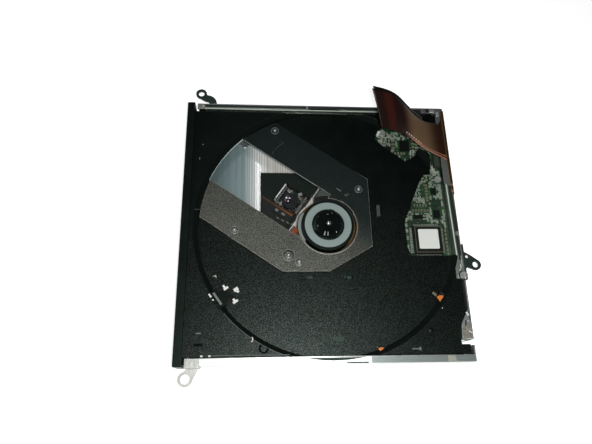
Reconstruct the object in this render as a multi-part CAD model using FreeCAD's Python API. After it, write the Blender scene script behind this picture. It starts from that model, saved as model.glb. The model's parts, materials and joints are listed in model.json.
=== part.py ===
"""Slim tray-loading disc writer for a portable computer, top cover off, tray shut.

Units are millimetres. The origin is on the spindle axis at the drive's bottom face,
X points to the rear connector end, Y to the far side and Z up out of the open top.
"""
import FreeCAD, Part
import math
import os

Vec = FreeCAD.Vector

# Case, a pressed steel pan
case_front = -64.0
case_rear = 62.6
case_height = 12.0
case_sheet = 0.6
side_flange = 3.0
rear_flange = 4.0
rear_flange_start = -27.0
flange_relief = 1.2
side_hole_radius = 1.0
side_hole_z = 2.9
side_hole_inset = 10.0
side_hole_pitch = 53.0

# Heights of the main levels
board_bottom = 1.6
board_thickness = 0.8
well_floor_top = 8.4
well_floor_thickness = 1.2
deck_top = 10.8
deck_thickness = 1.4
sled_bottom = 0.9

# Tray; the disc well's radius sets the widths of the drive
well_radius = 61.4
well_to_case = 2.6
tray_side_gap = 3.7
tray_rear = 61.2
rim_chamfer_width = 2.3
rim_chamfer_height = 1.5
rim_wall = 3.8
tray_front_wall = 1.2
skirt_thickness = 1.2
rear_bay_near = -14.9
rear_bay_front = 37.8
tongue_end = 53.4
far_arm_width = 4.3

# Telescoping rails
guide_thickness = 2.0
guide_bottom = 4.0
guide_lip = 0.9
guide_web = 0.6
rail_sheet = 0.5
slide_gap = 0.3
guide_rear = 58.0
rail_front = -60.0
rail_rear = 54.0

# Front bezel
bezel_depth = 3.75
bezel_gap = 1.2
bezel_overhang = 0.3
bezel_bottom = 0.1
bezel_top = 12.6
bezel_wall = 1.3
bezel_face = 1.8

# Eject button, its switch and the lamp
button_y = -38.0
button_z = 6.2
button_width = 10.0
button_height = 2.6
button_proud = 0.35
lamp_y = -47.5
pinhole_y = -28.0
pinhole_radius = 0.7
switch_half = 2.2
switch_plunger_radius = 0.7
fit_gap = 0.2

# Spindle
turntable_radius = 12.65
turntable_top = 9.4
turntable_skirt = 0.6
pad_outer_radius = 11.2
pad_inner_radius = 7.8
pad_thickness = 0.5
pad_seat = 0.2
hub_radius = 7.0
hub_top = 11.8
claw_reach = 0.6
claw_width = 2.6
first_claw_angle = 75.0
spindle_shaft_radius = 1.5
running_gap = 0.04
motor_base_radius = 15.0

# Traverse unit, laid out along the pickup's path
slot_angle = 145.5
slot_far = -14.3
slot_near = 12.8
slot_start = 7.5
plate_far = -32.0
plate_near = 31.1
plate_near_y = -22.5
plate_corner_x = 0.0
plate_rear_x = 20.9
plate_rear_y = -10.4
plate_thickness = 0.6
plate_top = 8.8
spindle_cut_radius = 14.0
dimples = [(-25.0, 50.8, 1.8, 0.4), (16.0, 18.8, 1.8, 0.4), (-44.3, -2.5, 1.8, 0.4),
           (-19.1, -14.8, 2.8, 0.6), (-14.2, -18.0, 1.8, 0.4)]
plate_gap = 0.4
frame_inset = 0.8
shield_thickness = 0.3
shaft_z = 4.2
main_shaft_v = -19.0
sub_shaft_v = 16.6
main_shaft_radius = 1.5
sub_shaft_radius = 1.0
far_bar_y = 48.3
front_bar_x = -61.0
frame_bar = 2.5
screw_v = 22.6
screw_radius = 1.2
screw_journal_radius = 0.6
nut_start = 18.2
nut_length = 3.4
sled_motor_radius = 2.7
sled_motor_length = 10.0
sled_motor_start = 7.0
shaft_start = 12.4
frame_bar_half = 2.2

# Pickup
lens_radius_out = 23.2
pickup_front_x = -32.1
pickup_far_y = 28.4
pickup_top = 6.6
pickup_bottom = 1.7
pickup_far_v = -21.6
pickup_near_v = 19.0
actuator_top = 7.9
actuator_out = 6.0
actuator_in = 7.3
actuator_far = -8.0
actuator_near = 4.0
lens_radius = 2.2
lens_v = -0.8

# Disc clip at the rim of the well
clip_angle = -145.2
clip_inside = 5.8
clip_outside = 3.0
clip_half = 4.4

# Latch
latch_pin_x = -52.6
latch_pin_y = -50.0
latch_pin_radius = 0.8
latch_pin_top = 5.0
latch_pivot_x = -44.0
latch_pivot_y = -46.4
latch_post_radius = 1.0
link_y = -42.3
link_pin_radius = 0.5
lever_bottom = 3.0
lever_top = 4.3
plunger_radius = 1.1
plunger_z = 4.5
solenoid_front = -40.0
solenoid_rear = -26.0
solenoid_half = 2.7
solenoid_top = 6.2

# Eject pusher
pusher_inset = 3.7
pusher_z = 5.5
pusher_radius = 1.0
pusher_front = -30.0
pusher_rear = -2.0

# Dampers that hang the traverse unit from the tray
damper_radius = 3.0
damper_waist = 1.8
damper_flange = 0.7
lug_bottom = 4.6
lug_top = 5.6
shoulder_radius = 1.1
shoulder_thread_radius = 0.7
shoulder_top = 7.9

# Main board and its parts
board_front = 27.6
board_rear = 61.4
board_side_gap = 6.5
board_lobe_front = -12.0
board_lobe_near = -54.0
board_lobe_far = -24.4
chip_centre_x = 49.9
chip_centre_y = -5.6
chip_body = 13.6
chip_span = 17.0
chip_thickness = 1.7
chip_middle = 1.2
chip_step = 1.2
lead_pitch = 0.8
lead_width = 0.34
leads_per_side = 16
label_size = 10.0
label_thickness = 0.1
board_screw_points = [(32.0, 54.0), (59.2, 27.4), (56.5, -52.0), (22.0, -50.0), (-8.0, -50.0)]
socket_near_y = 34.0
socket_far_y = 59.0
socket_front = 57.6
socket_top = 5.6

# Flexible circuit folded under the tray
tray_flex_near = -40.0
tray_flex_far = -27.5
tray_flex_front = -20.0
tray_flex_thickness = 0.15

# Ribbon from the drive to its host
ribbon_thickness = 0.3
ribbon_near_y = 15.6
ribbon_side_gap = 1.6
ribbon_strips = 8
ribbon_gap = 0.15
ribbon_wall_gap = 0.3
ribbon_bend = 0.6
ribbon_tail_z = 4.2
ribbon_leg_far = [(59.4, 54.4, 0.0), (50.0, 55.4, 1.9), (42.2, 58.6, 6.7), (33.7, 62.4, 12.7),
                  (21.7, 63.7, 16.7)]
ribbon_leg_near = [(59.4, 34.8, 0.0), (50.0, 40.0, 0.6), (42.0, 46.0, 1.7), (34.0, 48.4, 3.7),
                   (27.8, 48.5, 5.7)]

# Mounting ears
ear_thickness = 1.0
ear_z = 5.6
far_ear_x = -63.1
far_ear_reach = 9.4
far_ear_hole = 1.5
far_ear_rim = 1.3
near_ear_x = -64.0
near_ear_reach = 5.0
near_ear_hole = 2.05
near_ear_rim = 1.1
rear_ear_x = 70.9
rear_ear_y = -18.9
rear_ear_hole = 1.45
rear_ear_rim = 1.25
rear_ear_small_hole = 0.8

actuator_front = lens_radius_out + actuator_out
actuator_rear = lens_radius_out - actuator_in
case_half = well_radius + well_to_case
tray_half_width = case_half - tray_side_gap
flange_relief_radius = well_radius + flange_relief
far_arm_inner = tray_half_width - far_arm_width
rail_lip_reach = tray_half_width + slide_gap
bezel_half_width = case_half + bezel_overhang
plate_arc_radius = well_radius - plate_gap
clip_inner = well_radius - clip_inside
clip_outer = well_radius + clip_outside
board_half_width = case_half - board_side_gap
pusher_y = pusher_inset - tray_half_width
ribbon_far_y = case_half - ribbon_side_gap
far_ear_y = case_half + far_ear_reach
near_ear_y = -case_half - near_ear_reach
case_inner = case_half - case_sheet
rear_wall_inner = case_rear - case_sheet
flange_under = case_height - case_sheet
bezel_back = case_front - bezel_gap
bezel_front = bezel_back - bezel_depth
well_floor_under = well_floor_top - well_floor_thickness
deck_under = deck_top - deck_thickness
board_top = board_bottom + board_thickness
chip_top = board_top + chip_thickness + chip_middle
plate_under = plate_top - plate_thickness
frame_top = plate_under
frame_bottom = sled_bottom + shield_thickness
motor_base_bottom = frame_bottom + 0.6
motor_base_top = motor_base_bottom + 0.8
pad_top = turntable_top + pad_thickness
tray_flex_low = board_top + 0.25
tray_flex_high = well_floor_under - tray_flex_thickness
switch_front = bezel_back + tray_front_wall + 0.9
pieces = {}


def box(x0, x1, y0, y1, z0, z1):
    """Block between two corners."""
    return Part.makeBox(x1 - x0, y1 - y0, z1 - z0, Vec(x0, y0, z0))


def cylinder(radius, z0, z1, x=0.0, y=0.0):
    """Upright cylinder."""
    return Part.makeCylinder(radius, z1 - z0, Vec(x, y, z0))


def ring(outer, inner, z0, z1, x=0.0, y=0.0):
    """Upright tube."""
    return cylinder(outer, z0, z1, x, y).cut(cylinder(inner, z0 - 1.0, z1 + 1.0, x, y))


def rod(radius, start, end):
    """Round bar from one point to another."""
    path = end.sub(start)
    return Part.makeCylinder(radius, path.Length, start, path)


def prism(points, z0, z1):
    """Straight-sided block over a polygon of (x, y) points."""
    corners = [Vec(x, y, z0) for x, y in points]
    face = Part.Face(Part.makePolygon(corners + corners[:1]))
    return face.extrude(Vec(0, 0, z1 - z0))


def side_profile(points, x0, x1):
    """Bar along X over a polygon of (y, z) points."""
    corners = [Vec(x0, y, z) for y, z in points]
    face = Part.Face(Part.makePolygon(corners + corners[:1]))
    return face.extrude(Vec(x1 - x0, 0, 0))


def local(u, v):
    """Point at u along the pickup's path and v across it, as (x, y)."""
    angle = math.radians(slot_angle)
    x = u * math.cos(angle) - v * math.sin(angle)
    y = u * math.sin(angle) + v * math.cos(angle)
    return x, y


damper_points = [(26.6, -2.0), local(33.4, 35.6), local(22.4, -36.0)]


def local_prism(points, z0, z1):
    """Block over a polygon of (u, v) points in the pickup's path frame."""
    return prism([local(u, v) for u, v in points], z0, z1)


def local_box(u0, u1, v0, v1, z0, z1):
    """Block squared to the pickup's path."""
    return local_prism([(u0, v0), (u1, v0), (u1, v1), (u0, v1)], z0, z1)


def local_vec(u, v, z):
    """Point in the pickup's path frame as a vector."""
    x, y = local(u, v)
    return Vec(x, y, z)


def fuse(shapes):
    """One solid from several, with the seams taken out."""
    shapes = list(shapes)
    return shapes[0].multiFuse(shapes[1:]).removeSplitter()


def cut(shape, tools):
    """Shape with every tool taken away."""
    return shape.cut(Part.makeCompound(list(tools)))


def mirror_side(shape):
    """The same piece on the other side of the drive."""
    return shape.mirror(Vec(0, 0, 0), Vec(0, 1, 0))


def turned(shape, degrees):
    """Copy of a shape turned about the spindle axis."""
    copy = shape.copy()
    copy.rotate(Vec(0, 0, 0), Vec(0, 0, 1), degrees)
    return copy


def at_v(v, line_x=None, line_y=None):
    """Where the line at v across the path meets a line of constant X or of constant Y."""
    angle = math.radians(slot_angle)
    if line_x is not None:
        return line_x, (v + line_x * math.sin(angle)) / math.cos(angle)
    return (line_y * math.cos(angle) - v) / math.sin(angle), line_y


def at_v_reach(v, line_x=None, line_y=None):
    """How far out the line at v across the path meets a line of constant X or of constant Y."""
    x, y = at_v(v, line_x, line_y)
    angle = math.radians(slot_angle)
    return x * math.cos(angle) + y * math.sin(angle)


def screw(x, y, under_head, head_radius, head_height, shank_radius, shank_length):
    """Machine screw standing head up, with a cross recess."""
    head = cylinder(head_radius, under_head, under_head + head_height, x, y)
    shank = cylinder(shank_radius, under_head - shank_length, under_head, x, y)
    arm = head_radius * 0.55
    slot = head_radius * 0.16
    top = under_head + head_height
    depth = head_height * 0.5
    recess = fuse([
        box(x - arm, x + arm, y - slot, y + slot, top - depth, top + 1.0),
        box(x - slot, x + slot, y - arm, y + arm, top - depth, top + 1.0),
    ])
    return fuse([head, shank]).cut(recess)


# Outline of the traverse plate, grown or shrunk by an offset
def plate_outline(grow):
    """Corner points of the traverse plate, moved out by grow."""
    near = plate_near + grow
    far = plate_far - grow
    near_y = plate_near_y - grow
    rear_x = plate_rear_x + grow
    slope = (plate_rear_y - plate_near_y) / (plate_rear_x - plate_corner_x)
    drop = grow * math.sqrt(1.0 + slope * slope)
    start_x = plate_corner_x + (drop - grow) / slope
    end_y = plate_near_y - drop + slope * (rear_x - plate_corner_x)
    reach = plate_arc_radius * 1.4
    return [
        at_v(near, line_y=near_y),
        (start_x, near_y),
        (rear_x, end_y),
        at_v(far, line_x=rear_x),
        local(reach, far),
        local(reach, near),
    ]


def plate_blank(grow, z0, z1, arc_grow=None):
    """Traverse plate outline as a block, ended by the arc of the disc well."""
    arc = plate_arc_radius + (grow if arc_grow is None else arc_grow)
    return prism(plate_outline(grow), z0, z1).common(cylinder(arc, z0, z1))


# Case

def make_bottom_case():
    """Steel pan with side flanges, a rear wall and the holes that other pieces use."""
    floor = box(case_front, case_rear, -case_half, case_half, 0, case_sheet)
    far_wall = box(case_front, case_rear, case_inner, case_half, 0, case_height)
    near_wall = mirror_side(far_wall)
    rear_wall = box(rear_wall_inner, case_rear, -case_half, case_half, 0, case_height)
    far_flange = box(case_front, case_rear, case_half - side_flange, case_half, flange_under, case_height)
    near_flange = mirror_side(far_flange)
    rear_flange_plate = box(case_rear - rear_flange, case_rear, rear_flange_start, case_half,
                            flange_under, case_height)
    gusset = prism([(case_rear, -39.6), (58.0, -47.6), (57.4, -54.5), (case_rear, -54.5)],
                   flange_under, case_height)
    pan = fuse([floor, far_wall, near_wall, rear_wall, far_flange, near_flange, rear_flange_plate, gusset])
    tools = [cylinder(flange_relief_radius, flange_under - 1.0, case_height + 1.0)]
    notch_depth = 0.7
    tools.append(box(5.0, 14.6, -case_half - 1.0, -case_half + notch_depth, flange_under - 0.6,
                     case_height + 1))
    ribbon_mouth = box(rear_wall_inner - 1, case_rear + 1, socket_near_y - 1.0, socket_far_y + 1.0,
                       board_top, socket_top + 0.4)
    tools.append(ribbon_mouth)
    corner_gap = box(59.0, case_rear + 1, -56.8, -54.5, -1, case_height + 1)
    tools.append(corner_gap)
    for side in (-1, 1):
        for index in range(3):
            x = case_front + side_hole_inset + index * side_hole_pitch
            start = Vec(x, side * (case_inner - 1.0), side_hole_z)
            tools.append(rod(side_hole_radius, start, start.add(Vec(0, side * 4.0, 0))))
    for x, y in ((-40.0, 44.0), (30.0, 44.0), (-40.0, -20.0), (30.0, -20.0)):
        tools.append(cylinder(1.6, -1, 2, x, y))
    pan = cut(pan, tools)
    rib = fuse([
        box(-50.0, 20.0, -case_half + 3.0, -case_half + 4.4, case_sheet, case_sheet + 0.3),
        box(-50.0, 20.0, case_half - 4.4, case_half - 3.0, case_sheet, case_sheet + 0.3),
    ])
    bosses = [ring(2.2, 0.8, case_sheet, board_bottom, x, y) for x, y in board_screw_points]
    stop = box(pusher_rear + 1.6, pusher_rear + 2.6, pusher_y - 1.3, pusher_y + 1.3,
               case_sheet, pusher_z + 1.0)
    return fuse([pan, rib, stop] + bosses)


def guide_section(side):
    """Section of the fixed channel that carries a slide rail, as (y, z) points."""
    outer = case_inner
    inner = case_inner - guide_thickness
    web = outer - guide_web
    low = guide_bottom
    high = flange_under
    points = [
        (outer, low), (inner, low), (inner, low + guide_lip), (web, low + guide_lip),
        (web, high - guide_lip), (inner, high - guide_lip), (inner, high), (outer, high),
    ]
    return [(side * y, z) for y, z in points]


def make_rail_guide(side):
    """Fixed plastic channel along a side wall, with feet on the pan's floor."""
    guide = side_profile(guide_section(side), case_front + 0.4, guide_rear)
    foot_inner = case_inner - guide_thickness + 0.3
    feet = []
    for index in range(4):
        x = case_front + 19.0 + index * 33.0
        y0, y1 = sorted((side * foot_inner, side * case_inner))
        feet.append(box(x, x + 4.0, y0, y1, case_sheet, guide_bottom))
    return fuse([guide] + feet)


def rail_section(side):
    """Section of a sliding steel rail, as (y, z) points."""
    outer = case_inner - guide_web - slide_gap
    web = outer - rail_sheet
    low = guide_bottom + guide_lip + slide_gap
    high = flange_under - guide_lip - slide_gap
    points = [
        (outer, low), (rail_lip_reach, low), (rail_lip_reach, low + rail_sheet), (web, low + rail_sheet),
        (web, high - rail_sheet), (rail_lip_reach, high - rail_sheet), (rail_lip_reach, high), (outer, high),
    ]
    return [(side * y, z) for y, z in points]


def make_slide_rail(side):
    """Pressed steel rail that runs between the fixed channel and the tray."""
    rail = side_profile(rail_section(side), rail_front, rail_rear)
    middle = (guide_bottom + flange_under) / 2.0 + 0.1
    slots = []
    for index in range(3):
        x = rail_front + 20.0 + index * 30.0
        y0, y1 = sorted((side * (case_inner - 3.0), side * case_inner))
        slots.append(box(x, x + 8.0, y0, y1, middle - 0.6, middle + 0.6))
    return cut(rail, slots)


def runner_section(side):
    """Tongue on the tray's edge that runs inside a slide rail, as (y, z) points."""
    reach = case_inner - guide_web - slide_gap - rail_sheet - slide_gap
    low = guide_bottom + guide_lip + slide_gap + rail_sheet + slide_gap
    high = flange_under - guide_lip - slide_gap - rail_sheet - slide_gap
    root = tray_half_width - skirt_thickness
    points = [(root, low), (reach, low), (reach, high), (root, high)]
    return [(side * y, z) for y, z in points]


# Tray

def rear_bay_points():
    """Cut-out of the tray that clears the tall parts of the main board."""
    front = rear_bay_front
    far = tray_rear + 5.0
    return [
        (far, rear_bay_near), (front + 1.6, rear_bay_near), (front + 0.2, rear_bay_near + 4.0),
        (front, 0.8), (front + 0.6, 3.8), (front + 3.4, 9.1), (front + 5.2, 13.9),
        (front + 9.7, 23.6), (front + 12.6, 27.8), (tongue_end, 27.8), (tongue_end, 38.0),
        (48.6, 41.4), (46.3, 37.4), (41.1, 34.7), (37.4, 37.9), (31.5, 42.2), (26.4, 47.3),
        (28.6, 52.6), (33.0, far_arm_inner), (far, far_arm_inner),
    ]


def clip_box(r0, r1, t0, t1, z0, z1):
    """Block squared to the disc clip, r outwards from the spindle and t along the rim."""
    block = box(r0, r1, t0, t1, z0, z1)
    return turned(block, clip_angle)


def make_tray():
    """Moulded tray with the disc well, its rim, the rear bay and the side tongues."""
    half = tray_half_width
    outline = [(bezel_back, -half), (tray_rear, -half), (tray_rear, half), (bezel_back, half)]
    deck = prism(outline, deck_under, deck_top)
    rim_ring = cylinder(well_radius + rim_wall, well_floor_under, deck_top)
    rim_ring = rim_ring.common(prism(outline, well_floor_under, deck_top))
    front_wall = box(bezel_back, bezel_back + tray_front_wall, -half, half, 2.0, deck_top)
    skirts = []
    for side in (-1, 1):
        y0, y1 = sorted((side * (half - skirt_thickness), side * half))
        low = guide_bottom + guide_lip + slide_gap + rail_sheet + slide_gap
        skirts.append(box(bezel_back, tray_rear, y0, y1, low, deck_top))
        skirts.append(side_profile(runner_section(side), rail_front, guide_rear))
    ribs = [
        box(bezel_back, -50.0, -24.0, -23.0, well_floor_under, deck_top),
        box(-57.2, -56.2, -half, -44.0, well_floor_under, deck_top),
        box(-56.0, -44.0, 54.0, 55.0, well_floor_under, deck_top),
        box(44.0, 57.0, -52.6, -51.6, well_floor_under, deck_top),
        box(57.2, 58.4, -46.0, -30.0, well_floor_under, deck_top),
    ]
    body = fuse([deck, rim_ring, front_wall] + skirts + ribs)
    disc_space = cylinder(well_radius, well_floor_top, deck_top + 1)
    chamfer = Part.makeCone(well_radius, well_radius + rim_chamfer_width, rim_chamfer_height,
                            Vec(0, 0, deck_top - rim_chamfer_height))
    low = deck_under - 8.0
    high = deck_top + 1.0
    tools = [disc_space, chamfer, prism(rear_bay_points(), low, high)]
    tools.append(plate_blank(plate_gap, low, high, arc_grow=well_radius - plate_arc_radius))
    rear = tray_rear + 1.0
    tools.append(box(57.4, rear, -56.4, -54.0, low, high))
    tools.append(box(23.9, 26.5, 4.3, 11.3, low, high))
    windows = [(2.6, -53.1, 4.0, 1.7), (-9.3, -25.3, 4.0, 1.5), (8.8, -25.4, 4.0, 1.5)]
    for x, y, length, width in windows:
        tools.append(box(x - length / 2, x + length / 2, y - width / 2, y + width / 2, low, high))
    tools.append(prism([(49.8, -32.4), (53.4, -32.6), (51.4, -35.8)], low, high))
    tools.append(prism([(19.4, -56.6), (24.4, -56.9), (20.4, -58.6)], low, high))
    tools.append(cylinder(1.5, low, high, -30.5, -57.0))
    tools.append(Part.makeCone(1.5, 2.4, 0.8, Vec(-30.5, -57.0, deck_top - 0.7)))
    tools.append(box(-60.6, -56.8, -55.8, -54.6, deck_top - 0.5, high))
    tools.append(clip_box(clip_inner, clip_outer, -clip_half, clip_half, low, high))
    button_hole_half = button_width / 2.0 - 2.0 + fit_gap
    tools.append(box(bezel_back - 1, bezel_back + tray_front_wall + 1,
                     button_y - button_hole_half, button_y + button_hole_half,
                     button_z - 0.8 - fit_gap, button_z + 0.8 + fit_gap))
    tools.append(box(bezel_back - 1, bezel_back + tray_front_wall + 1, lamp_y - 1.2, lamp_y + 1.2,
                     button_z - 0.8, button_z + 0.8))
    pin_start = Vec(bezel_back - 1, pinhole_y, button_z)
    tools.append(rod(pinhole_radius, pin_start, pin_start.add(Vec(4, 0, 0))))
    for x, y in damper_points:
        tools.append(cylinder(shoulder_thread_radius + running_gap, low, shoulder_top + 0.1, x, y))
    body = cut(body, tools)
    posts = [cylinder(2.0, 6.9, deck_under, x, y) for x, y in ((-61.5, -33.0), (-61.5, -44.0))]
    posts.append(cylinder(2.2, 6.4, deck_under, latch_pivot_x, latch_pivot_y))
    posts.append(cylinder(latch_post_radius, 2.2, 6.4, latch_pivot_x, latch_pivot_y))
    solenoid_pad = box(solenoid_front, solenoid_rear, link_y - solenoid_half, link_y + solenoid_half,
                       solenoid_top, well_floor_under)
    barrel = box(pusher_front - 2.0, pusher_rear, pusher_y - 2.0, pusher_y + 2.0,
                 pusher_z - 1.6, well_floor_under)
    barrel = barrel.cut(rod(pusher_radius + running_gap, Vec(pusher_front, pusher_y, pusher_z),
                            Vec(pusher_rear + 1.0, pusher_y, pusher_z)))
    return fuse([body, solenoid_pad, barrel] + posts)


def make_disc_clip():
    """Moulded retainer set in a pocket of the rim, with a leaf and a proud bar."""
    gap = fit_gap
    low = well_floor_under
    outer = clip_outer - gap
    inner = clip_inner + gap
    half = clip_half - gap
    leaf = clip_inner + 1.3
    frame = clip_box(inner, outer, -half, half, low, deck_top - 0.3)
    bar_front = well_radius - 1.0
    dip = clip_box(inner - 1, bar_front, -half - 1, half + 1, well_floor_top + 0.3, deck_top + 1)
    windows = [
        clip_box(leaf, leaf + 3.1, 2.4, half + 1, low - 1, deck_top),
        clip_box(leaf, leaf + 1.3, 1.3, half + 1, low - 1, deck_top),
        clip_box(leaf, leaf + 3.1, -half - 1, -2.6, low - 1, deck_top),
        clip_box(leaf, leaf + 1.3, -half - 1, -1.5, low - 1, deck_top),
        clip_box(bar_front + 2.1, bar_front + 3.0, 0.9, 3.7, low - 1, deck_top),
        clip_box(inner - 1, leaf - 0.3, -1.6, 1.2, low - 1, deck_top),
    ]
    bar = clip_box(bar_front, bar_front + 1.2, -3.6, 3.6, well_floor_top, deck_top + 0.3)
    return fuse([cut(frame.cut(dip), windows), bar])


def make_bezel():
    """Hollow moulded front with its button opening, lamp hole and eject pinhole."""
    shell = box(bezel_front, bezel_back, -bezel_half_width, bezel_half_width, bezel_bottom, bezel_top)
    edges = [e for e in shell.Edges if abs(e.CenterOfMass.x - bezel_front) < 0.01]
    shell = shell.makeFillet(0.6, edges)
    hollow = box(bezel_front + bezel_face, bezel_back + 1, -bezel_half_width + bezel_wall,
                 bezel_half_width - bezel_wall, bezel_bottom + bezel_wall, bezel_top - bezel_wall)
    shell = shell.cut(hollow)
    lugs = [box(bezel_front + bezel_face - 0.2, bezel_back, y - 1.5, y + 1.5,
                bezel_bottom + bezel_wall - 0.2, 4.0) for y in (-56.0, -18.0, 18.0, 56.0)]
    shell = fuse([shell] + lugs)
    half_w = button_width / 2.0 + fit_gap
    half_h = button_height / 2.0 + fit_gap
    through = bezel_front - 1.0
    inside = bezel_front + bezel_face + 1.0
    tools = [
        box(through, inside, button_y - half_w, button_y + half_w, button_z - half_h, button_z + half_h),
        box(through, inside, lamp_y - 1.2, lamp_y + 1.2, button_z - 0.5, button_z + 0.5),
        rod(pinhole_radius, Vec(through, pinhole_y, button_z), Vec(inside, pinhole_y, button_z)),
        box(bezel_front - 1, bezel_front + 0.5, -30.0, 30.0, bezel_bottom - 1, bezel_bottom + 0.6),
    ]
    return cut(shell, tools)


def make_eject_button():
    """Push button with a flange behind the bezel and a stem through the tray's front wall."""
    half_w = button_width / 2.0
    half_h = button_height / 2.0
    face = box(bezel_front - button_proud, bezel_front + bezel_face + 0.2, button_y - half_w,
               button_y + half_w, button_z - half_h, button_z + half_h)
    edges = [e for e in face.Edges if abs(e.CenterOfMass.x - bezel_front + button_proud) < 0.01]
    face = face.makeFillet(0.3, edges)
    flange_front = bezel_front + bezel_face + fit_gap
    flange = box(flange_front, flange_front + 0.7, button_y - half_w - 1.0, button_y + half_w + 1.0,
                 button_z - half_h - 0.8, button_z + half_h + 0.8)
    stem_end = bezel_back + tray_front_wall + 0.1
    stem = box(flange_front, stem_end, button_y - half_w + 2.0, button_y + half_w - 2.0,
               button_z - 0.8, button_z + 0.8)
    return fuse([face, flange, stem])


def make_switch():
    """Small push switch body with a bore for its plunger."""
    body = box(switch_front, switch_front + 2.6, button_y - switch_half, button_y + switch_half,
               button_z - 1.6, button_z + 1.1)
    bore = rod(switch_plunger_radius + running_gap, Vec(switch_front - 1, button_y, button_z),
               Vec(switch_front + 1.8, button_y, button_z))
    return body.cut(bore)


def make_switch_plunger():
    """Plunger between the button's stem and the switch."""
    start = Vec(bezel_back + tray_front_wall + 0.1, button_y, button_z)
    return rod(switch_plunger_radius, start, Vec(switch_front + 1.0, button_y, button_z))


def make_button_board():
    """Narrow board under the tray's front edge that carries the switch and the lamp."""
    z1 = button_z - 1.6
    top = box(bezel_back + tray_front_wall + 0.3, bezel_back + 6.0, -50.0, -31.0, z1 - 0.8, z1)
    stand_x = bezel_back + 2.8
    stand = [box(stand_x, stand_x + 1.8, y - 0.9, y + 0.9, z1, 6.9) for y in (-33.0, -44.0)]
    return fuse([top] + stand)


def make_lamp():
    """Clear light pipe from the lamp on the button board to the bezel's face."""
    pipe = box(bezel_front - 0.1, bezel_back + 3.4, lamp_y - 1.0, lamp_y + 1.0,
               button_z - 0.4, button_z + 0.4)
    foot = box(bezel_back + tray_front_wall + 0.6, bezel_back + 3.4, lamp_y - 1.0, lamp_y + 1.0,
               button_z - 1.6, button_z + 0.4)
    return fuse([pipe, foot])


# Traverse unit

def dome(x, y, z, base_radius, height):
    """Low spherical cap standing on a level."""
    sphere_radius = (base_radius ** 2 + height ** 2) / (2.0 * height)
    ball = Part.makeSphere(sphere_radius, Vec(x, y, z + height - sphere_radius))
    return ball.common(cylinder(base_radius + 1.0, z - 0.2, z + height + 1.0, x, y))


def make_traverse_plate():
    """Flat steel cover of the traverse unit with the pickup slot and pressed domes."""
    plate = plate_blank(0.0, plate_under, plate_top)
    slot = local_box(slot_start, plate_arc_radius + 5.0, slot_far, slot_near, plate_under - 1, plate_top + 1)
    hole = cylinder(spindle_cut_radius, plate_under - 1, plate_top + 1)
    plate = cut(plate, [slot, hole, cylinder(0.7, plate_under - 1, plate_top + 1, 10.6, 16.3),
                        cylinder(0.7, plate_under - 1, plate_top + 1, -38.0, 42.0)])
    lip = ring(spindle_cut_radius + 0.45, spindle_cut_radius, plate_under, plate_top + 0.25)
    lip = lip.cut(local_box(0.0, 30.0, slot_far, slot_near, 0, 20))
    domes = [dome(x, y, plate_top, radius, height) for x, y, radius, height in dimples]
    return fuse([plate, lip] + domes)


def main_shaft_reach():
    """How far out the main shaft ends, inside the frame's far bar."""
    middle = far_bar_y + frame_bar * 0.8
    return at_v_reach(main_shaft_v, line_y=middle)


def sub_shaft_reach():
    """How far out the second shaft ends, inside the frame's front bar."""
    return at_v_reach(sub_shaft_v, line_x=front_bar_x - frame_bar * 0.8)


def screw_reach():
    """How far out the lead screw's journal ends, inside the frame's front bar."""
    return at_v_reach(screw_v, line_x=front_bar_x - frame_bar * 0.8)


def shaft_rod(v, radius, reach):
    """Straight guide shaft from its inner seat out to reach."""
    return rod(radius, local_vec(shaft_start, v, shaft_z), local_vec(reach, v, shaft_z))


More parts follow.
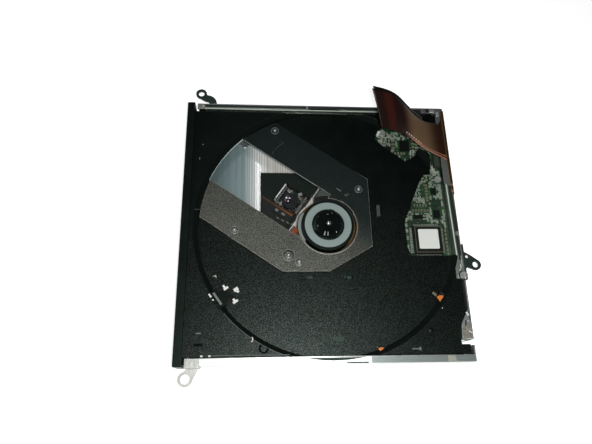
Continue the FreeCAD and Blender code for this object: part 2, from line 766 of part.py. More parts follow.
def make_traverse_frame():
    """Cast U-shaped chassis under the plate that holds the spindle, shafts and motor."""
    blank = plate_blank(-frame_inset, frame_bottom, frame_top, arc_grow=-frame_inset)
    sky = frame_top + 1
    deep = frame_bottom - 1
    window = local_box(13.0, 90.0, pickup_far_v - 0.8, screw_v + sled_motor_radius + 0.5, deep, sky)
    motor_pocket = local_box(sled_motor_start - 0.4, 20.0, screw_v - sled_motor_radius - 0.5,
                             screw_v + sled_motor_radius + 0.5, deep, sky)
    spindle_pocket = cylinder(spindle_cut_radius + 1.6, deep, sky)
    body = cut(blank, [window, motor_pocket, spindle_pocket])
    low = shaft_z - frame_bar_half
    high = shaft_z + frame_bar_half
    far_x = local(main_shaft_reach(), main_shaft_v)[0]
    near_y = local(screw_reach(), screw_v)[1]
    sub_y = local(sub_shaft_reach(), sub_shaft_v)[1]
    rail_v = screw_v + sled_motor_radius + 0.5
    bars = [
        box(far_x - 3.4, far_x + 7.0, far_bar_y, far_bar_y + frame_bar, low, high),
        box(front_bar_x - frame_bar, front_bar_x, near_y - 3.0, sub_y + 3.0, low, high),
        local_box(40.0, 57.0, rail_v, rail_v + 2.8, frame_bottom, high),
    ]
    floor = ring(spindle_cut_radius + 3.0, motor_base_radius - 4.0, frame_bottom, motor_base_bottom)
    floor = floor.cut(local_box(13.0, 40.0, -30.0, 30.0, 0, 10))
    inner_seats = [
        local_box(11.6, 14.4, main_shaft_v - 3.6, main_shaft_v + 2.6, frame_bottom, frame_top),
        local_box(11.6, 14.4, sub_shaft_v - 1.9, sub_shaft_v + 1.9, frame_bottom, frame_top),
    ]
    lugs = [cylinder(damper_radius + 0.2, lug_bottom, lug_top, x, y) for x, y in damper_points]
    lug_arms = [
        box(16.0, 26.6, -4.5, 0.5, lug_bottom, lug_top),
        box(16.0, 26.0, 4.9, 10.7, lug_bottom, lug_top),
        box(24.3, 26.0, 4.9, 10.7, lug_bottom, well_floor_top + 0.3),
        local_box(30.0, 37.0, 27.0, 34.4, lug_bottom, lug_top),
        local_box(20.0, 25.0, -34.4, -28.0, lug_bottom, lug_top),
    ]
    body = fuse([body, floor] + bars + inner_seats + lugs + lug_arms)
    tools = [cylinder(damper_waist + 0.1, 0, 20, x, y) for x, y in damper_points]
    tools += [shaft_rod(main_shaft_v, main_shaft_radius, main_shaft_reach()),
              shaft_rod(sub_shaft_v, sub_shaft_radius, sub_shaft_reach())]
    tools.append(rod(screw_journal_radius + running_gap, local_vec(screw_reach() - 3.0, screw_v, shaft_z),
                     local_vec(screw_reach() + 0.4, screw_v, shaft_z)))
    tools.append(cylinder(motor_base_radius, motor_base_bottom, sky))
    tools.append(local_box(9.8, 13.2, 9.6, 10.6, motor_base_top, sky))
    tools.append(local_box(9.8, 13.2, 9.6, 16.2, frame_top - 0.4, sky))
    return cut(body, tools)


def make_damper(x, y):
    """Rubber bush with a flange each side of its lug."""
    spool = fuse([
        cylinder(damper_radius, lug_top, well_floor_under, x, y),
        cylinder(damper_waist, lug_bottom, lug_top, x, y),
        cylinder(damper_radius, lug_bottom - damper_flange, lug_bottom, x, y),
    ])
    return spool.cut(cylinder(shoulder_radius + 0.1, 0, 20, x, y))


def make_shoulder_screw(x, y):
    """Shoulder screw up through a bush into the tray's floor."""
    head_top = lug_bottom - damper_flange
    return fuse([
        cylinder(2.4, head_top - 0.8, head_top, x, y),
        cylinder(shoulder_radius, head_top, well_floor_under, x, y),
        cylinder(shoulder_thread_radius, well_floor_under, shoulder_top, x, y),
    ])


def make_shield():
    """Thin bright sheet that closes the traverse unit from below."""
    return plate_blank(-frame_inset, sled_bottom, frame_bottom, arc_grow=-frame_inset)


def make_shafts():
    """The two ground guide shafts along the pickup's path."""
    return Part.makeCompound([
        shaft_rod(main_shaft_v, main_shaft_radius, main_shaft_reach()),
        shaft_rod(sub_shaft_v, sub_shaft_radius, sub_shaft_reach()),
    ])


# Spindle

def make_stator():
    """Motor base with its bearing housing and nine coils on a core."""
    base = cylinder(motor_base_radius - slide_gap, motor_base_bottom, motor_base_top)
    housing = cylinder(3.2, motor_base_top, 8.2)
    core = ring(4.8, 3.1, motor_base_top, 5.2)
    arms = [turned(box(9.6, 10.9, -0.8, 0.8, 3.6, 4.6), index * 40.0) for index in range(9)]
    coils = [turned(box(4.4, 9.6, -1.5, 1.5, 3.0, 5.2), index * 40.0) for index in range(9)]
    body = fuse([base, housing, core] + arms + coils)
    bore = cylinder(spindle_shaft_radius + running_gap, motor_base_bottom + 0.4, 9.0)
    return body.cut(bore)


def make_rotor():
    """Motor bell with its ring magnet; the flat top is the turntable."""
    bell = cylinder(turntable_radius, 3.4, turntable_top)
    inner = turntable_radius - turntable_skirt
    under = turntable_top - 0.8
    inside = cylinder(inner, 3.0, under)
    edge = Part.makeCone(turntable_radius + 0.2, turntable_radius - 0.5, 0.7, Vec(0, 0, turntable_top - 0.6))
    upper = cylinder(turntable_radius + 1.0, turntable_top - 0.6, turntable_top + 0.1).cut(edge)
    groove = ring(pad_outer_radius, pad_inner_radius, turntable_top - pad_seat, turntable_top + 1)
    bell = cut(bell, [inside, upper, groove])
    magnet = ring(inner, inner - 0.8, 3.5, under)
    return fuse([bell, magnet]).cut(cylinder(spindle_shaft_radius, 0, 20))


def make_spindle_shaft():
    """Ground shaft pressed into the bell, with a centre hole in its top."""
    shaft = cylinder(spindle_shaft_radius, motor_base_bottom + 0.5, hub_top - 0.9)
    return shaft.cut(cylinder(0.5, hub_top - 1.7, hub_top))


def make_pad():
    """Rubber ring that grips the disc."""
    return ring(pad_outer_radius, pad_inner_radius, turntable_top - pad_seat, pad_top)


def claw_angles():
    """Angles of the three claws about the hub."""
    return [first_claw_angle + index * 120.0 for index in range(3)]


def make_hub():
    """Domed hub with three claw pockets, spring windows and two relief slits."""
    drum = cylinder(hub_radius, turntable_top, hub_top - 0.8)
    crown = Part.makeCone(hub_radius, hub_radius - 0.9, 0.8, Vec(0, 0, hub_top - 0.8))
    body = fuse([drum, crown])
    tools = [cylinder(spindle_shaft_radius, 0, hub_top - 0.9), cylinder(1.0, 0, 20)]
    dish = Part.makeCone(1.3, 2.0, 0.5, Vec(0, 0, hub_top - 0.4))
    tools.append(dish)
    half = claw_width / 2.0 + 0.15
    for angle in claw_angles():
        tools.append(turned(box(3.5, hub_radius + 1, -half, half, 9.75, 11.3), angle))
    for angle in (250.0, 262.0):
        tools.append(turned(box(5.2, hub_radius + 1, -0.13, 0.13, 10.6, 13.0), angle))
    return cut(body, tools)


def make_claw(angle):
    """Claw with a sloped nose that holds the disc by its hole."""
    back = 4.15
    nose = hub_radius + claw_reach
    half = claw_width / 2.0
    points = [(back, 9.9), (nose - 0.5, 9.9), (nose, 10.4), (nose, 10.7), (nose - 0.7, 11.15), (back, 11.15)]
    corners = [Vec(r, -half, z) for r, z in points]
    face = Part.Face(Part.makePolygon(corners + corners[:1]))
    claw = face.extrude(Vec(0, claw_width, 0))
    limit = cylinder(nose, 9.0, 12.0)
    return turned(claw.common(limit), angle)


def make_motor_flex():
    """Folded strip of flexible circuit from the motor base to under the plate."""
    drop = local_box(10.4, 12.8, 10.0, 10.15, motor_base_top, frame_top - 0.1)
    run = local_box(10.4, 12.8, 10.0, 15.8, frame_top - 0.25, frame_top - 0.1)
    return fuse([drop, run])


# Pickup

def pickup_outline(inset):
    """Corner points of the pickup's body; its outer edges are square to the drive."""
    front_x = pickup_front_x + inset
    far_y = pickup_far_y - inset
    inner_u = 15.0 + inset
    near_v = pickup_near_v - inset
    far_v = pickup_far_v + inset
    return [
        (front_x, far_y),
        at_v(near_v, line_x=front_x),
        local(inner_u, near_v),
        local(inner_u, far_v),
        at_v(far_v, line_y=far_y),
    ]


def make_pickup_body():
    """Die-cast pickup base with bearings for both shafts and the actuator's pocket."""
    body = prism(pickup_outline(0.0), pickup_bottom, pickup_top - 0.6)
    sky = pickup_top + 2
    tools = [
        cylinder(motor_base_radius + 0.7, 0, sky),
        local_box(actuator_rear - 2.0, actuator_front, actuator_far, actuator_near, 2.6, sky),
        rod(main_shaft_radius + running_gap, local_vec(0, main_shaft_v, shaft_z),
            local_vec(60, main_shaft_v, shaft_z)),
        rod(sub_shaft_radius + running_gap, local_vec(0, sub_shaft_v, shaft_z),
            local_vec(60, sub_shaft_v, shaft_z)),
        local_box(17.5, 40.0, -18.0 + 5.0, -9.5, 0, 2.6),
        local_box(18.5, 22.5, main_shaft_v - 4.0, main_shaft_v + 3.0, 0, sky),
        cylinder(2.6, 0, 3.2, *local(30.5, -1.0)),
    ]
    return cut(body, tools)


def make_pickup_cover():
    """Dark sheet cover of the pickup with a window over the actuator."""
    cover = prism(pickup_outline(0.15), pickup_top - 0.6, pickup_top)
    sky = pickup_top + 2
    tools = [
        cylinder(motor_base_radius + 0.9, 0, sky),
        local_box(actuator_rear - 2.0, actuator_front, actuator_far, actuator_near, 2.6, sky),
        local_box(18.5, 22.5, main_shaft_v - 4.0, main_shaft_v + 3.0, 0, sky),
        cylinder(0.45, 0, sky, *local(34.5, -9.5)),
        cylinder(0.45, 0, sky, *local(24.0, -11.5)),
    ]
    return cut(cover, tools)


def make_pickup_flex():
    """Flexible circuit lying on the near half of the pickup, with its own small parts."""
    sheet = prism(pickup_outline(1.0), pickup_top, pickup_top + 0.12)
    keep = local_box(17.0, 60.0, 4.5, pickup_near_v, pickup_top, pickup_top + 0.2)
    sheet = sheet.common(keep).cut(cylinder(motor_base_radius + 1.2, 0, 20))
    parts = [local_box(18.0 + index * 2.3, 19.5 + index * 2.3, 11.0, 11.9, pickup_top, pickup_top + 0.5)
             for index in range(4)]
    connector = local_box(20.0, 26.5, 7.0, 8.6, pickup_top, pickup_top + 0.9)
    return fuse([sheet, connector] + parts)


def make_yoke():
    """Steel yoke of the lens actuator with two upright plates."""
    return fuse([
        local_box(actuator_rear + 0.2, actuator_front - 0.2, -7.2, 3.2, 2.6, 3.2),
        local_box(actuator_front - 1.0, actuator_front - 0.2, -7.2, 3.2, 2.6, 6.9),
        local_box(actuator_rear + 0.2, actuator_rear + 0.9, -7.2, 3.2, 2.6, 6.9),
        local_box(lens_radius_out + 1.2, lens_radius_out + 1.8, -6.6, -4.6, 2.6, 6.2),
        local_box(lens_radius_out + 1.2, lens_radius_out + 1.8, 2.4, 3.2, 2.6, 6.2),
    ])


def make_magnets():
    """Two magnets that stand against the yoke's plates."""
    return Part.makeCompound([
        local_box(actuator_front - 2.0, actuator_front - 1.0, -6.6, 2.6, 3.2, 6.5),
        local_box(actuator_rear + 0.9, actuator_rear + 1.7, -6.6, 2.6, 3.2, 6.5),
    ])


def make_lens_holder():
    """Moving lens carrier with coil blocks and a seat for the lens."""
    lens_x, lens_y = local(lens_radius_out, lens_v)
    block = fuse([
        local_box(lens_radius_out - 4.8, lens_radius_out + 0.8, -4.0, 2.4, 4.0, 6.9),
        local_box(lens_radius_out - 4.8, lens_radius_out + 3.2, -4.0, 1.0, 5.4, 7.0),
        local_box(lens_radius_out - 2.8, lens_radius_out + 0.2, -6.4, 2.9, 4.4, 6.4),
        cylinder(lens_radius + 0.7, 5.0, 7.4, lens_x, lens_y),
    ])
    return cut(block, [cylinder(lens_radius, 6.6, 9.0, lens_x, lens_y),
                       cylinder(lens_radius - 0.5, 3.0, 9.0, lens_x, lens_y)])


def make_lens():
    """Domed objective lens."""
    lens_x, lens_y = local(lens_radius_out, lens_v)
    body = cylinder(lens_radius, 6.6, 7.2, lens_x, lens_y)
    height = actuator_top - 7.2
    base = lens_radius - 0.3
    sphere_radius = (base ** 2 + height ** 2) / (2.0 * height)
    ball = Part.makeSphere(sphere_radius, Vec(lens_x, lens_y, actuator_top - sphere_radius))
    return fuse([body, ball.common(cylinder(base, 7.1, 9.0, lens_x, lens_y))])


def make_lead_nut():
    """Nut on the lead screw with an arm to the pickup."""
    nut_end = nut_start + nut_length
    nut = rod(2.1, local_vec(nut_start, screw_v, shaft_z), local_vec(nut_end, screw_v, shaft_z))
    arm = local_box(nut_start + 0.4, nut_end - 0.4, pickup_near_v, screw_v, shaft_z - 1.4, shaft_z + 1.4)
    bore = rod(screw_radius + running_gap, local_vec(nut_start - 1, screw_v, shaft_z),
               local_vec(nut_end + 1, screw_v, shaft_z))
    return fuse([nut, arm]).cut(bore)


def make_lead_screw():
    """Lead screw with a plain journal at each end."""
    start = sled_motor_start + sled_motor_length
    thread_end = at_v_reach(screw_v, line_x=front_bar_x) - 0.8
    thread = rod(screw_radius, local_vec(start + 0.3, screw_v, shaft_z),
                 local_vec(thread_end, screw_v, shaft_z))
    journal = rod(screw_journal_radius, local_vec(start - 2.0, screw_v, shaft_z),
                  local_vec(screw_reach(), screw_v, shaft_z))
    return fuse([thread, journal])


def make_sled_motor():
    """Small stepping motor that turns the lead screw."""
    end = sled_motor_start + sled_motor_length
    can = rod(sled_motor_radius, local_vec(sled_motor_start, screw_v, shaft_z),
              local_vec(end, screw_v, shaft_z))
    flats = fuse([
        local_box(sled_motor_start - 1, end + 1, screw_v - 4, screw_v + 4, shaft_z + 2.4, shaft_z + 4),
        local_box(sled_motor_start - 1, end + 1, screw_v - 4, screw_v + 4, shaft_z - 4, shaft_z - 2.4),
    ])
    bore = rod(screw_journal_radius + running_gap, local_vec(end - 3.0, screw_v, shaft_z),
               local_vec(end + 1, screw_v, shaft_z))
    foot = local_box(sled_motor_start + 2, sled_motor_start + 8, screw_v - 1.8, screw_v + 1.8,
                     frame_bottom, shaft_z - 2.2)
    return fuse([cut(can, [flats, bore]), foot])


# Latch and eject pusher

def make_latch_lever():
    """Hooked lever on its post, drawn clear of the pin."""
    px = latch_pivot_x
    py = latch_pivot_y
    arm = prism([(px, py + 0.9), (-51.4, py + 0.9), (-52.0, py + 0.3), (-52.0, -47.6), (-51.8, -48.45),
                 (-50.4, -48.45), (-50.4, py - 0.9), (px, py - 0.9)], lever_bottom, lever_top)
    cross = box(px - 0.9, px + 0.9, py, link_y + 0.6, lever_bottom, lever_top)
    eye = cylinder(2.2, lever_bottom - 0.2, lever_top + 0.4, px, py)
    link = cylinder(link_pin_radius, lever_top, lever_top + 1.6, px, link_y)
    body = fuse([arm, cross, eye, link])
    return body.cut(cylinder(latch_post_radius + running_gap, 0, 20, px, py))


def make_latch_spring():
    """Return spring wound round the latch's post."""
    return ring(1.9, latch_post_radius + 0.1, lever_top + 0.5, 6.4, latch_pivot_x, latch_pivot_y)


def make_plunger():
    """Solenoid plunger with a slotted plate over the lever's link pin."""
    px = latch_pivot_x
    bar = rod(plunger_radius, Vec(px + 1.5, link_y, plunger_z), Vec(solenoid_front + 5.0, link_y, plunger_z))
    plate = box(px - 1.8, px + 2.4, link_y - 1.3, link_y + 1.3, lever_top + 0.3, lever_top + 1.0)
    slot = box(px - link_pin_radius - 0.1, px + link_pin_radius + 0.1, link_y - 0.9, link_y + 0.7,
               lever_top - 1, lever_top + 2)
    return fuse([bar, plate]).cut(slot)


def make_solenoid():
    """Latch solenoid with a steel frame round its coil."""
    coil = box(solenoid_front + 1.0, solenoid_rear - 1.0, link_y - solenoid_half + 0.3,
               link_y + solenoid_half - 0.3, plunger_z - 1.7, solenoid_top)
    frame = box(solenoid_front, solenoid_rear, link_y - solenoid_half, link_y + solenoid_half,
                solenoid_top - 0.6, solenoid_top)
    ends = [box(x, x + 1.0, link_y - solenoid_half, link_y + solenoid_half, plunger_z - 1.7, solenoid_top)
            for x in (solenoid_front, solenoid_rear - 1.0)]
    bore = rod(plunger_radius + running_gap, Vec(solenoid_front - 1, link_y, plunger_z),
               Vec(solenoid_front + 6.5, link_y, plunger_z))
    return fuse([coil, frame] + ends).cut(bore)


def make_pusher():
    """Spring-loaded rod that pushes the tray off its stop."""
    start = Vec(pusher_rear - 12.0, pusher_y, pusher_z)
    return rod(pusher_radius, start, Vec(pusher_rear + 1.6, pusher_y, pusher_z))


def make_pusher_spring():
    """Coil spring behind the pusher, drawn as its sleeve."""
    start = Vec(pusher_front, pusher_y, pusher_z)
    spring = rod(pusher_radius, start, Vec(pusher_rear - 12.0, pusher_y, pusher_z))
    return spring.cut(rod(pusher_radius - 0.35, Vec(pusher_front - 1, pusher_y, pusher_z),
                          Vec(pusher_rear - 11.0, pusher_y, pusher_z)))


# Main board

def make_board():
    """L-shaped circuit board on the pan's bosses."""
    main = box(board_front, board_rear, -board_half_width, board_half_width, board_bottom, board_top)
    lobe = box(board_lobe_front, board_front + 1, board_lobe_near, board_lobe_far, board_bottom, board_top)
    holes = [cylinder(0.8, 0, 5, x, y) for x, y in board_screw_points]
    holes.append(box(57.0, board_rear + 1, -board_half_width - 1, -53.6, 0, 5))
    return fuse([main, lobe]).cut(Part.makeCompound(holes))


def make_chip():
    """Moulded body of the large controller chip with bevelled edges and a raised black middle."""
    half = chip_body / 2.0 + 0.6
    top = board_top + chip_thickness
    low = box(chip_centre_x - half, chip_centre_x + half, chip_centre_y - half, chip_centre_y + half,
              board_top + 0.1, top)
    edges = [e for e in low.Edges if abs(e.CenterOfMass.z - top) < 0.01]
    half -= chip_step
    middle = box(chip_centre_x - half, chip_centre_x + half, chip_centre_y - half, chip_centre_y + half,
                 top - 0.1, chip_top)
    return fuse([low.makeChamfer(0.5, edges), middle])


def make_chip_label():
    """Blank paper label on the chip's pad."""
    half = label_size / 2.0
    label = box(chip_centre_x - half, chip_centre_x + half, chip_centre_y - half, chip_centre_y + half,
                chip_top, chip_top + label_thickness)
    edges = [e for e in label.Edges if abs(e.CenterOfMass.z - chip_top - label_thickness / 2) < 0.001]
    return label.makeFillet(0.6, edges)


def make_chip_leads():
    """Gull-wing leads on all four sides of the chip."""
    inner = chip_body / 2.0 + 0.6
    outer = chip_span / 2.0
    points = [(inner, board_top + 1.0), (inner, board_top + 0.75), (outer - 0.7, board_top),
              (outer, board_top), (outer, board_top + 0.2)]
    leads = []
    for side in range(4):
        for index in range(leads_per_side):
            offset = (index - (leads_per_side - 1) / 2.0) * lead_pitch
            corners = [Vec(r, offset - lead_width / 2.0, z) for r, z in points]
            face = Part.Face(Part.makePolygon(corners + corners[:1]))
            lead = turned(face.extrude(Vec(0, lead_width, 0)), side * 90.0)
            lead.translate(Vec(chip_centre_x, chip_centre_y, 0))
            leads.append(lead)
    return Part.makeCompound(leads)


def part_row(x, y, dx, dy, count, length, width, height):
    """Row of like parts on the board, each a small block."""
    rows = []
    for index in range(count):
        x0 = x + index * dx - length / 2.0
        y0 = y + index * dy - width / 2.0
        rows.append(Part.makeBox(length, width, height, Vec(x0, y0, board_top)))
    return rows


def make_small_chips():
    """Small moulded chips on the board."""
    rows = part_row(56.2, 8.2, 0, 0, 1, 3.2, 4.2, 1.1) + part_row(56.0, 20.6, 0, 0, 1, 2.6, 3.0, 1.1)
    rows += part_row(46.6, 6.6, 0, 0, 1, 4.6, 2.0, 1.0) + part_row(43.4, 46.6, 0, 0, 1, 5.0, 6.0, 1.2)
    rows += part_row(34.6, 44.4, 0, 0, 1, 2.4, 3.0, 1.0) + part_row(36.0, -6.0, 0, 0, 1, 5.0, 6.0, 1.2)
    rows += part_row(10.0, -47.0, 0, 0, 1, 6.0, 5.0, 1.2) + part_row(34.0, 16.0, 0, 0, 1, 6.0, 9.0, 1.2)
    return Part.makeCompound(rows)


def make_capacitors():
    """Ceramic capacitors in rows on the board."""
    rows = part_row(44.4, 10.2, 1.5, 0, 6, 0.7, 1.2, 0.7) + part_row(45.4, 13.0, 1.5, 0, 5, 0.7, 1.2, 0.7)
    rows += part_row(52.4, 15.6, 0, 1.7, 6, 1.3, 0.8, 0.8) + part_row(59.6, -12.6, 0, 2.0, 7, 0.8, 1.3, 0.7)
    rows += part_row(38.0, 42.0, 1.7, 0, 3, 0.9, 1.4, 0.8) + part_row(37.4, 45.4, 0, 2.0, 3, 1.6, 0.9, 0.8)
    rows += part_row(30.6, 50.4, 1.6, -1.2, 3, 0.8, 1.2, 0.7)
    rows += part_row(48.0, 46.0, 0, 2.0, 4, 1.5, 0.9, 0.8)
    return Part.makeCompound(rows)


def make_resistors():
    """Chip resistors in rows on the board."""
    rows = part_row(41.4, 4.4, 1.1, 0, 9, 0.5, 1.0, 0.4) + part_row(50.4, 5.0, 0, 1.5, 3, 1.0, 0.5, 0.4)
    rows += part_row(54.6, 12.4, 1.2, 0, 3, 0.5, 1.0, 0.4) + part_row(54.8, 15.6, 1.2, 0, 3, 0.5, 1.0, 0.4)
    rows += part_row(58.6, 9.0, 0, 1.3, 6, 1.0, 0.5, 0.4) + part_row(50.2, 18.6, 0, 1.2, 5, 1.0, 0.5, 0.4)
    rows += part_row(42.0, 40.6, 1.1, 0, 5, 0.5, 1.0, 0.4) + part_row(49.2, 43.6, 0, 0.0, 1, 1.0, 0.5, 0.4)
    return Part.makeCompound(rows)


def make_sockets():
    """Sockets on the board for the tray's flexible circuit and for the ribbon's tail."""
    low = box(52.4, 56.0, tray_flex_near - 1.2, tray_flex_far + 1.2, board_top, board_top + 1.3)
    low = low.cut(box(50.0, 55.0, tray_flex_near - 0.1, tray_flex_far + 0.1,
                      board_top + 0.2, board_top + 0.45))
    rear = box(socket_front, rear_wall_inner - 0.2, socket_near_y, socket_far_y, board_top, socket_top)
    mouth = box(rear_wall_inner - 1.8, rear_wall_inner + 1.0, socket_near_y + 0.8, socket_far_y - 0.8,
                ribbon_tail_z - 0.1, ribbon_tail_z + ribbon_thickness + 0.1)
    return Part.makeCompound([low, rear.cut(mouth)])


def make_tray_flex():
    """Flexible circuit folded under the tray, from the board's socket to the tray."""
    low = tray_flex_low
    high = tray_flex_high
    thick = tray_flex_thickness
    middle = (low + high + thick) / 2.0
    outer = (high + thick - low) / 2.0
    bend = Part.makeCylinder(outer, tray_flex_far - tray_flex_near,
                             Vec(tray_flex_front, tray_flex_near, middle), Vec(0, 1, 0))
    hollow = Part.makeCylinder(outer - thick, tray_flex_far - tray_flex_near + 2,
                               Vec(tray_flex_front, tray_flex_near - 1, middle), Vec(0, 1, 0))
    half_space = box(tray_flex_front, 0, tray_flex_near - 1, tray_flex_far + 1, 0, 12)
    lower = box(tray_flex_front, 54.8, tray_flex_near, tray_flex_far, low, low + thick)
    upper = box(tray_flex_front, 45.0, tray_flex_near, tray_flex_far, high, high + thick)
    return fuse([bend.cut(hollow).cut(half_space), lower, upper])


# Ribbon to the host

def ribbon_sheet(far_points, near_points, base_z, thickness):
    """Thin sheet of flat strips between two smooth edges given as points above base_z."""
    edges = []
    for points in (far_points, near_points):
        curve = Part.BSplineCurve()
        curve.interpolate([Vec(x, y, base_z + rise) for x, y, rise in points])
        first = curve.FirstParameter
        span = curve.LastParameter - first
        edges.append([curve.value(first + span * step / ribbon_strips) for step in range(ribbon_strips + 1)])
    far, near = edges
    strips = []
    for step in range(ribbon_strips):
        for corners in ([far[step], far[step + 1], near[step + 1]], [far[step], near[step + 1], near[step]]):
            face = Part.Face(Part.makePolygon(corners + corners[:1]))
            strips.append(face.extrude(Vec(0, 0, thickness)))
    return fuse(strips)


def make_ribbon():
    """Formed ribbon: over the rear wall, down into the socket, and a leg that lifts away."""
    top = case_height + ribbon_gap
    wall_x = case_rear + ribbon_wall_gap
    bend_x = wall_x - ribbon_bend
    bend_z = top - ribbon_bend
    outer = ribbon_bend + ribbon_thickness
    near = ribbon_near_y
    far = ribbon_far_y
    leg_far_x, leg_far_y = ribbon_leg_far[0][:2]
    leg_near_x, leg_near_y = ribbon_leg_near[0][:2]
    lap = prism([(bend_x, near), (bend_x - 0.7, near), (bend_x - 1.0, leg_near_y - 1.8),
                 (leg_near_x - 0.4, leg_near_y), (leg_far_x - 0.4, leg_far_y),
                 (bend_x - 1.5, leg_far_y + 2.6), (bend_x - 1.1, far), (bend_x, far)],
                top, top + ribbon_thickness)
    corner = Part.makeCylinder(outer, far - near, Vec(bend_x, near, bend_z), Vec(0, 1, 0))
    inside = Part.makeCylinder(ribbon_bend, far - near, Vec(bend_x, near, bend_z), Vec(0, 1, 0))
    keep = box(bend_x, bend_x + 5, near, far, bend_z, bend_z + 5)
    corner = corner.cut(inside).common(keep)
    tail_bend_z = ribbon_tail_z + outer
    skirt = box(wall_x, wall_x + ribbon_thickness, near, far, tail_bend_z, bend_z)
    tail_near = socket_near_y + 0.9
    tail_far = socket_far_y - 0.9
    tail_corner = Part.makeCylinder(outer, tail_far - tail_near, Vec(bend_x, tail_near, tail_bend_z),
                                    Vec(0, 1, 0))
    tail_inside = Part.makeCylinder(ribbon_bend, tail_far - tail_near, Vec(bend_x, tail_near, tail_bend_z),
                                    Vec(0, 1, 0))
    tail_keep = box(bend_x, bend_x + 5, tail_near, tail_far, tail_bend_z - 5, tail_bend_z)
    tail_corner = tail_corner.cut(tail_inside).common(tail_keep)
    tail = box(rear_wall_inner - 1.7, bend_x, tail_near, tail_far,
               ribbon_tail_z, ribbon_tail_z + ribbon_thickness)
    leg = ribbon_sheet(ribbon_leg_far, ribbon_leg_near, top, ribbon_thickness)
    return fuse([lap, corner, skirt, tail_corner, tail, leg])


def make_ribbon_backing():
    """Darker backing sheet under the ribbon's raised leg, wider at its far edge."""
    far = [(x + 0.6, y + 1.7, rise) for x, y, rise in ribbon_leg_far[1:]]
    near = [(x, y + 0.8, rise) for x, y, rise in ribbon_leg_near[1:]]
    return ribbon_sheet(far, near, case_height + ribbon_gap - 0.3, 0.2)


# Ears and screws

def make_far_ear():
    """Curled ear on a plate screwed to the far wall."""
    z0 = ear_z
    z1 = ear_z + ear_thickness
    outer = far_ear_hole + far_ear_rim
    wall = case_half
    plate = box(-62.0, -49.0, wall, wall + 0.8, 1.2, z1)
    turn_y = wall + 3.6
    root = box(-58.8, -55.0, wall, turn_y + 0.1, z0, z1)
    bend = ring(5.0, 1.2, z0, z1, -60.0, turn_y).common(box(-60.0, -54.0, turn_y, turn_y + 6.4, z0, z1))
    link = prism([(-59.9, turn_y + 1.2), (-59.9, turn_y + 5.0), (-61.8, far_ear_y + 2.45),
                  (-63.6, far_ear_y - 2.75), (-61.4, turn_y + 1.6)], z0, z1)
    eye = cylinder(outer, z0, z1, far_ear_x, far_ear_y)
    hole = cylinder(far_ear_hole, 0, 20, far_ear_x, far_ear_y)
    start = Vec(case_front + side_hole_inset, wall - 1, side_hole_z)
    screw_hole = rod(side_hole_radius + 0.1, start, start.add(Vec(0, 4, 0)))
    return cut(fuse([plate, root, bend, link, eye]), [hole, screw_hole])


def make_near_ear():
    """Bright ear on a bracket lapped over the near flange."""
    z0 = ear_z
    z1 = ear_z + ear_thickness
    wall = -case_half
    top = box(-63.8, -57.6, wall - 0.8, wall + 2.7, case_height, case_height + 0.6)
    side = box(-63.8, -57.6, wall - 0.8, wall, z0, case_height + 0.6)
    neck = prism([(-62.6, wall), (-58.2, wall), (near_ear_x + 3.1, near_ear_y - 0.4),
                  (near_ear_x - 2.9, near_ear_y + 0.9)], z0, z1)
    eye = cylinder(near_ear_hole + near_ear_rim, z0, z1, near_ear_x, near_ear_y)
    tools = [cylinder(near_ear_hole, 0, 20, near_ear_x, near_ear_y),
             cylinder(0.9, case_height - 1, 20, -62.0, wall + 1.2)]
    return cut(fuse([top, side, neck, eye]), tools)


def make_rear_ear():
    """Three-cornered ear on a bracket lapped over the rear flange."""
    z0 = ear_z
    z1 = ear_z + ear_thickness
    wall = case_rear
    plate = box(wall, wall + 0.8, -27.6, -10.5, 1.2, case_height + 0.6)
    web = prism([(wall, -11.8), (wall + 3.6, -12.6), (wall + 6.4, -14.2), (rear_ear_x + 2.1, -17.2),
                 (rear_ear_x - 1.5, -21.15), (wall + 4.2, -20.2), (wall + 3.0, -21.4),
                 (wall, -21.4)], z0, z1)
    eye = cylinder(rear_ear_hole + rear_ear_rim, z0, z1, rear_ear_x, rear_ear_y)
    tab = fuse([
        box(60.2, wall + 0.8, -27.6, -23.6, case_height, case_height + 0.6),
        cylinder(2.2, case_height, case_height + 0.6, 61.6, -25.6),
    ])
    tools = [cylinder(rear_ear_hole, 0, 20, rear_ear_x, rear_ear_y),
             cylinder(rear_ear_small_hole, 0, 20, rear_ear_x - 3.7, -14.9),
             cylinder(0.9, case_height - 1, 20, 61.6, -25.6)]
    return cut(fuse([plate, web, eye, tab]), tools)


def make_case_fasteners():
    """Screws of the board and the ears, and the riveted pin that the latch hooks behind."""
    screws = [screw(x, y, board_top, 1.8, 0.9, 0.75, 1.7) for x, y in board_screw_points]
    screws.append(screw(-62.0, -case_half + 1.2, case_height + 0.6, 1.5, 0.5, 0.8, 0.6))
    screws.append(screw(61.6, -25.6, case_height + 0.6, 1.7, 0.7, 0.8, 0.6))
    start = Vec(case_front + side_hole_inset, case_half - 0.5, side_hole_z)
    head = Vec(start.x, case_half + 0.8, start.z)
    side_screw = fuse([rod(0.9, start, head), rod(1.7, head, head.add(Vec(0, 0.5, 0)))])
    pin = cylinder(latch_pin_radius, case_sheet, latch_pin_top, latch_pin_x, latch_pin_y)
    return Part.makeCompound(screws + [side_screw, pin])


def make_corner_pad():
    """Foam pad on the rear near corner's flange."""
    return box(case_rear - 4.6, case_rear - 0.2, -54.0, -48.8, case_height, case_height + 0.3)


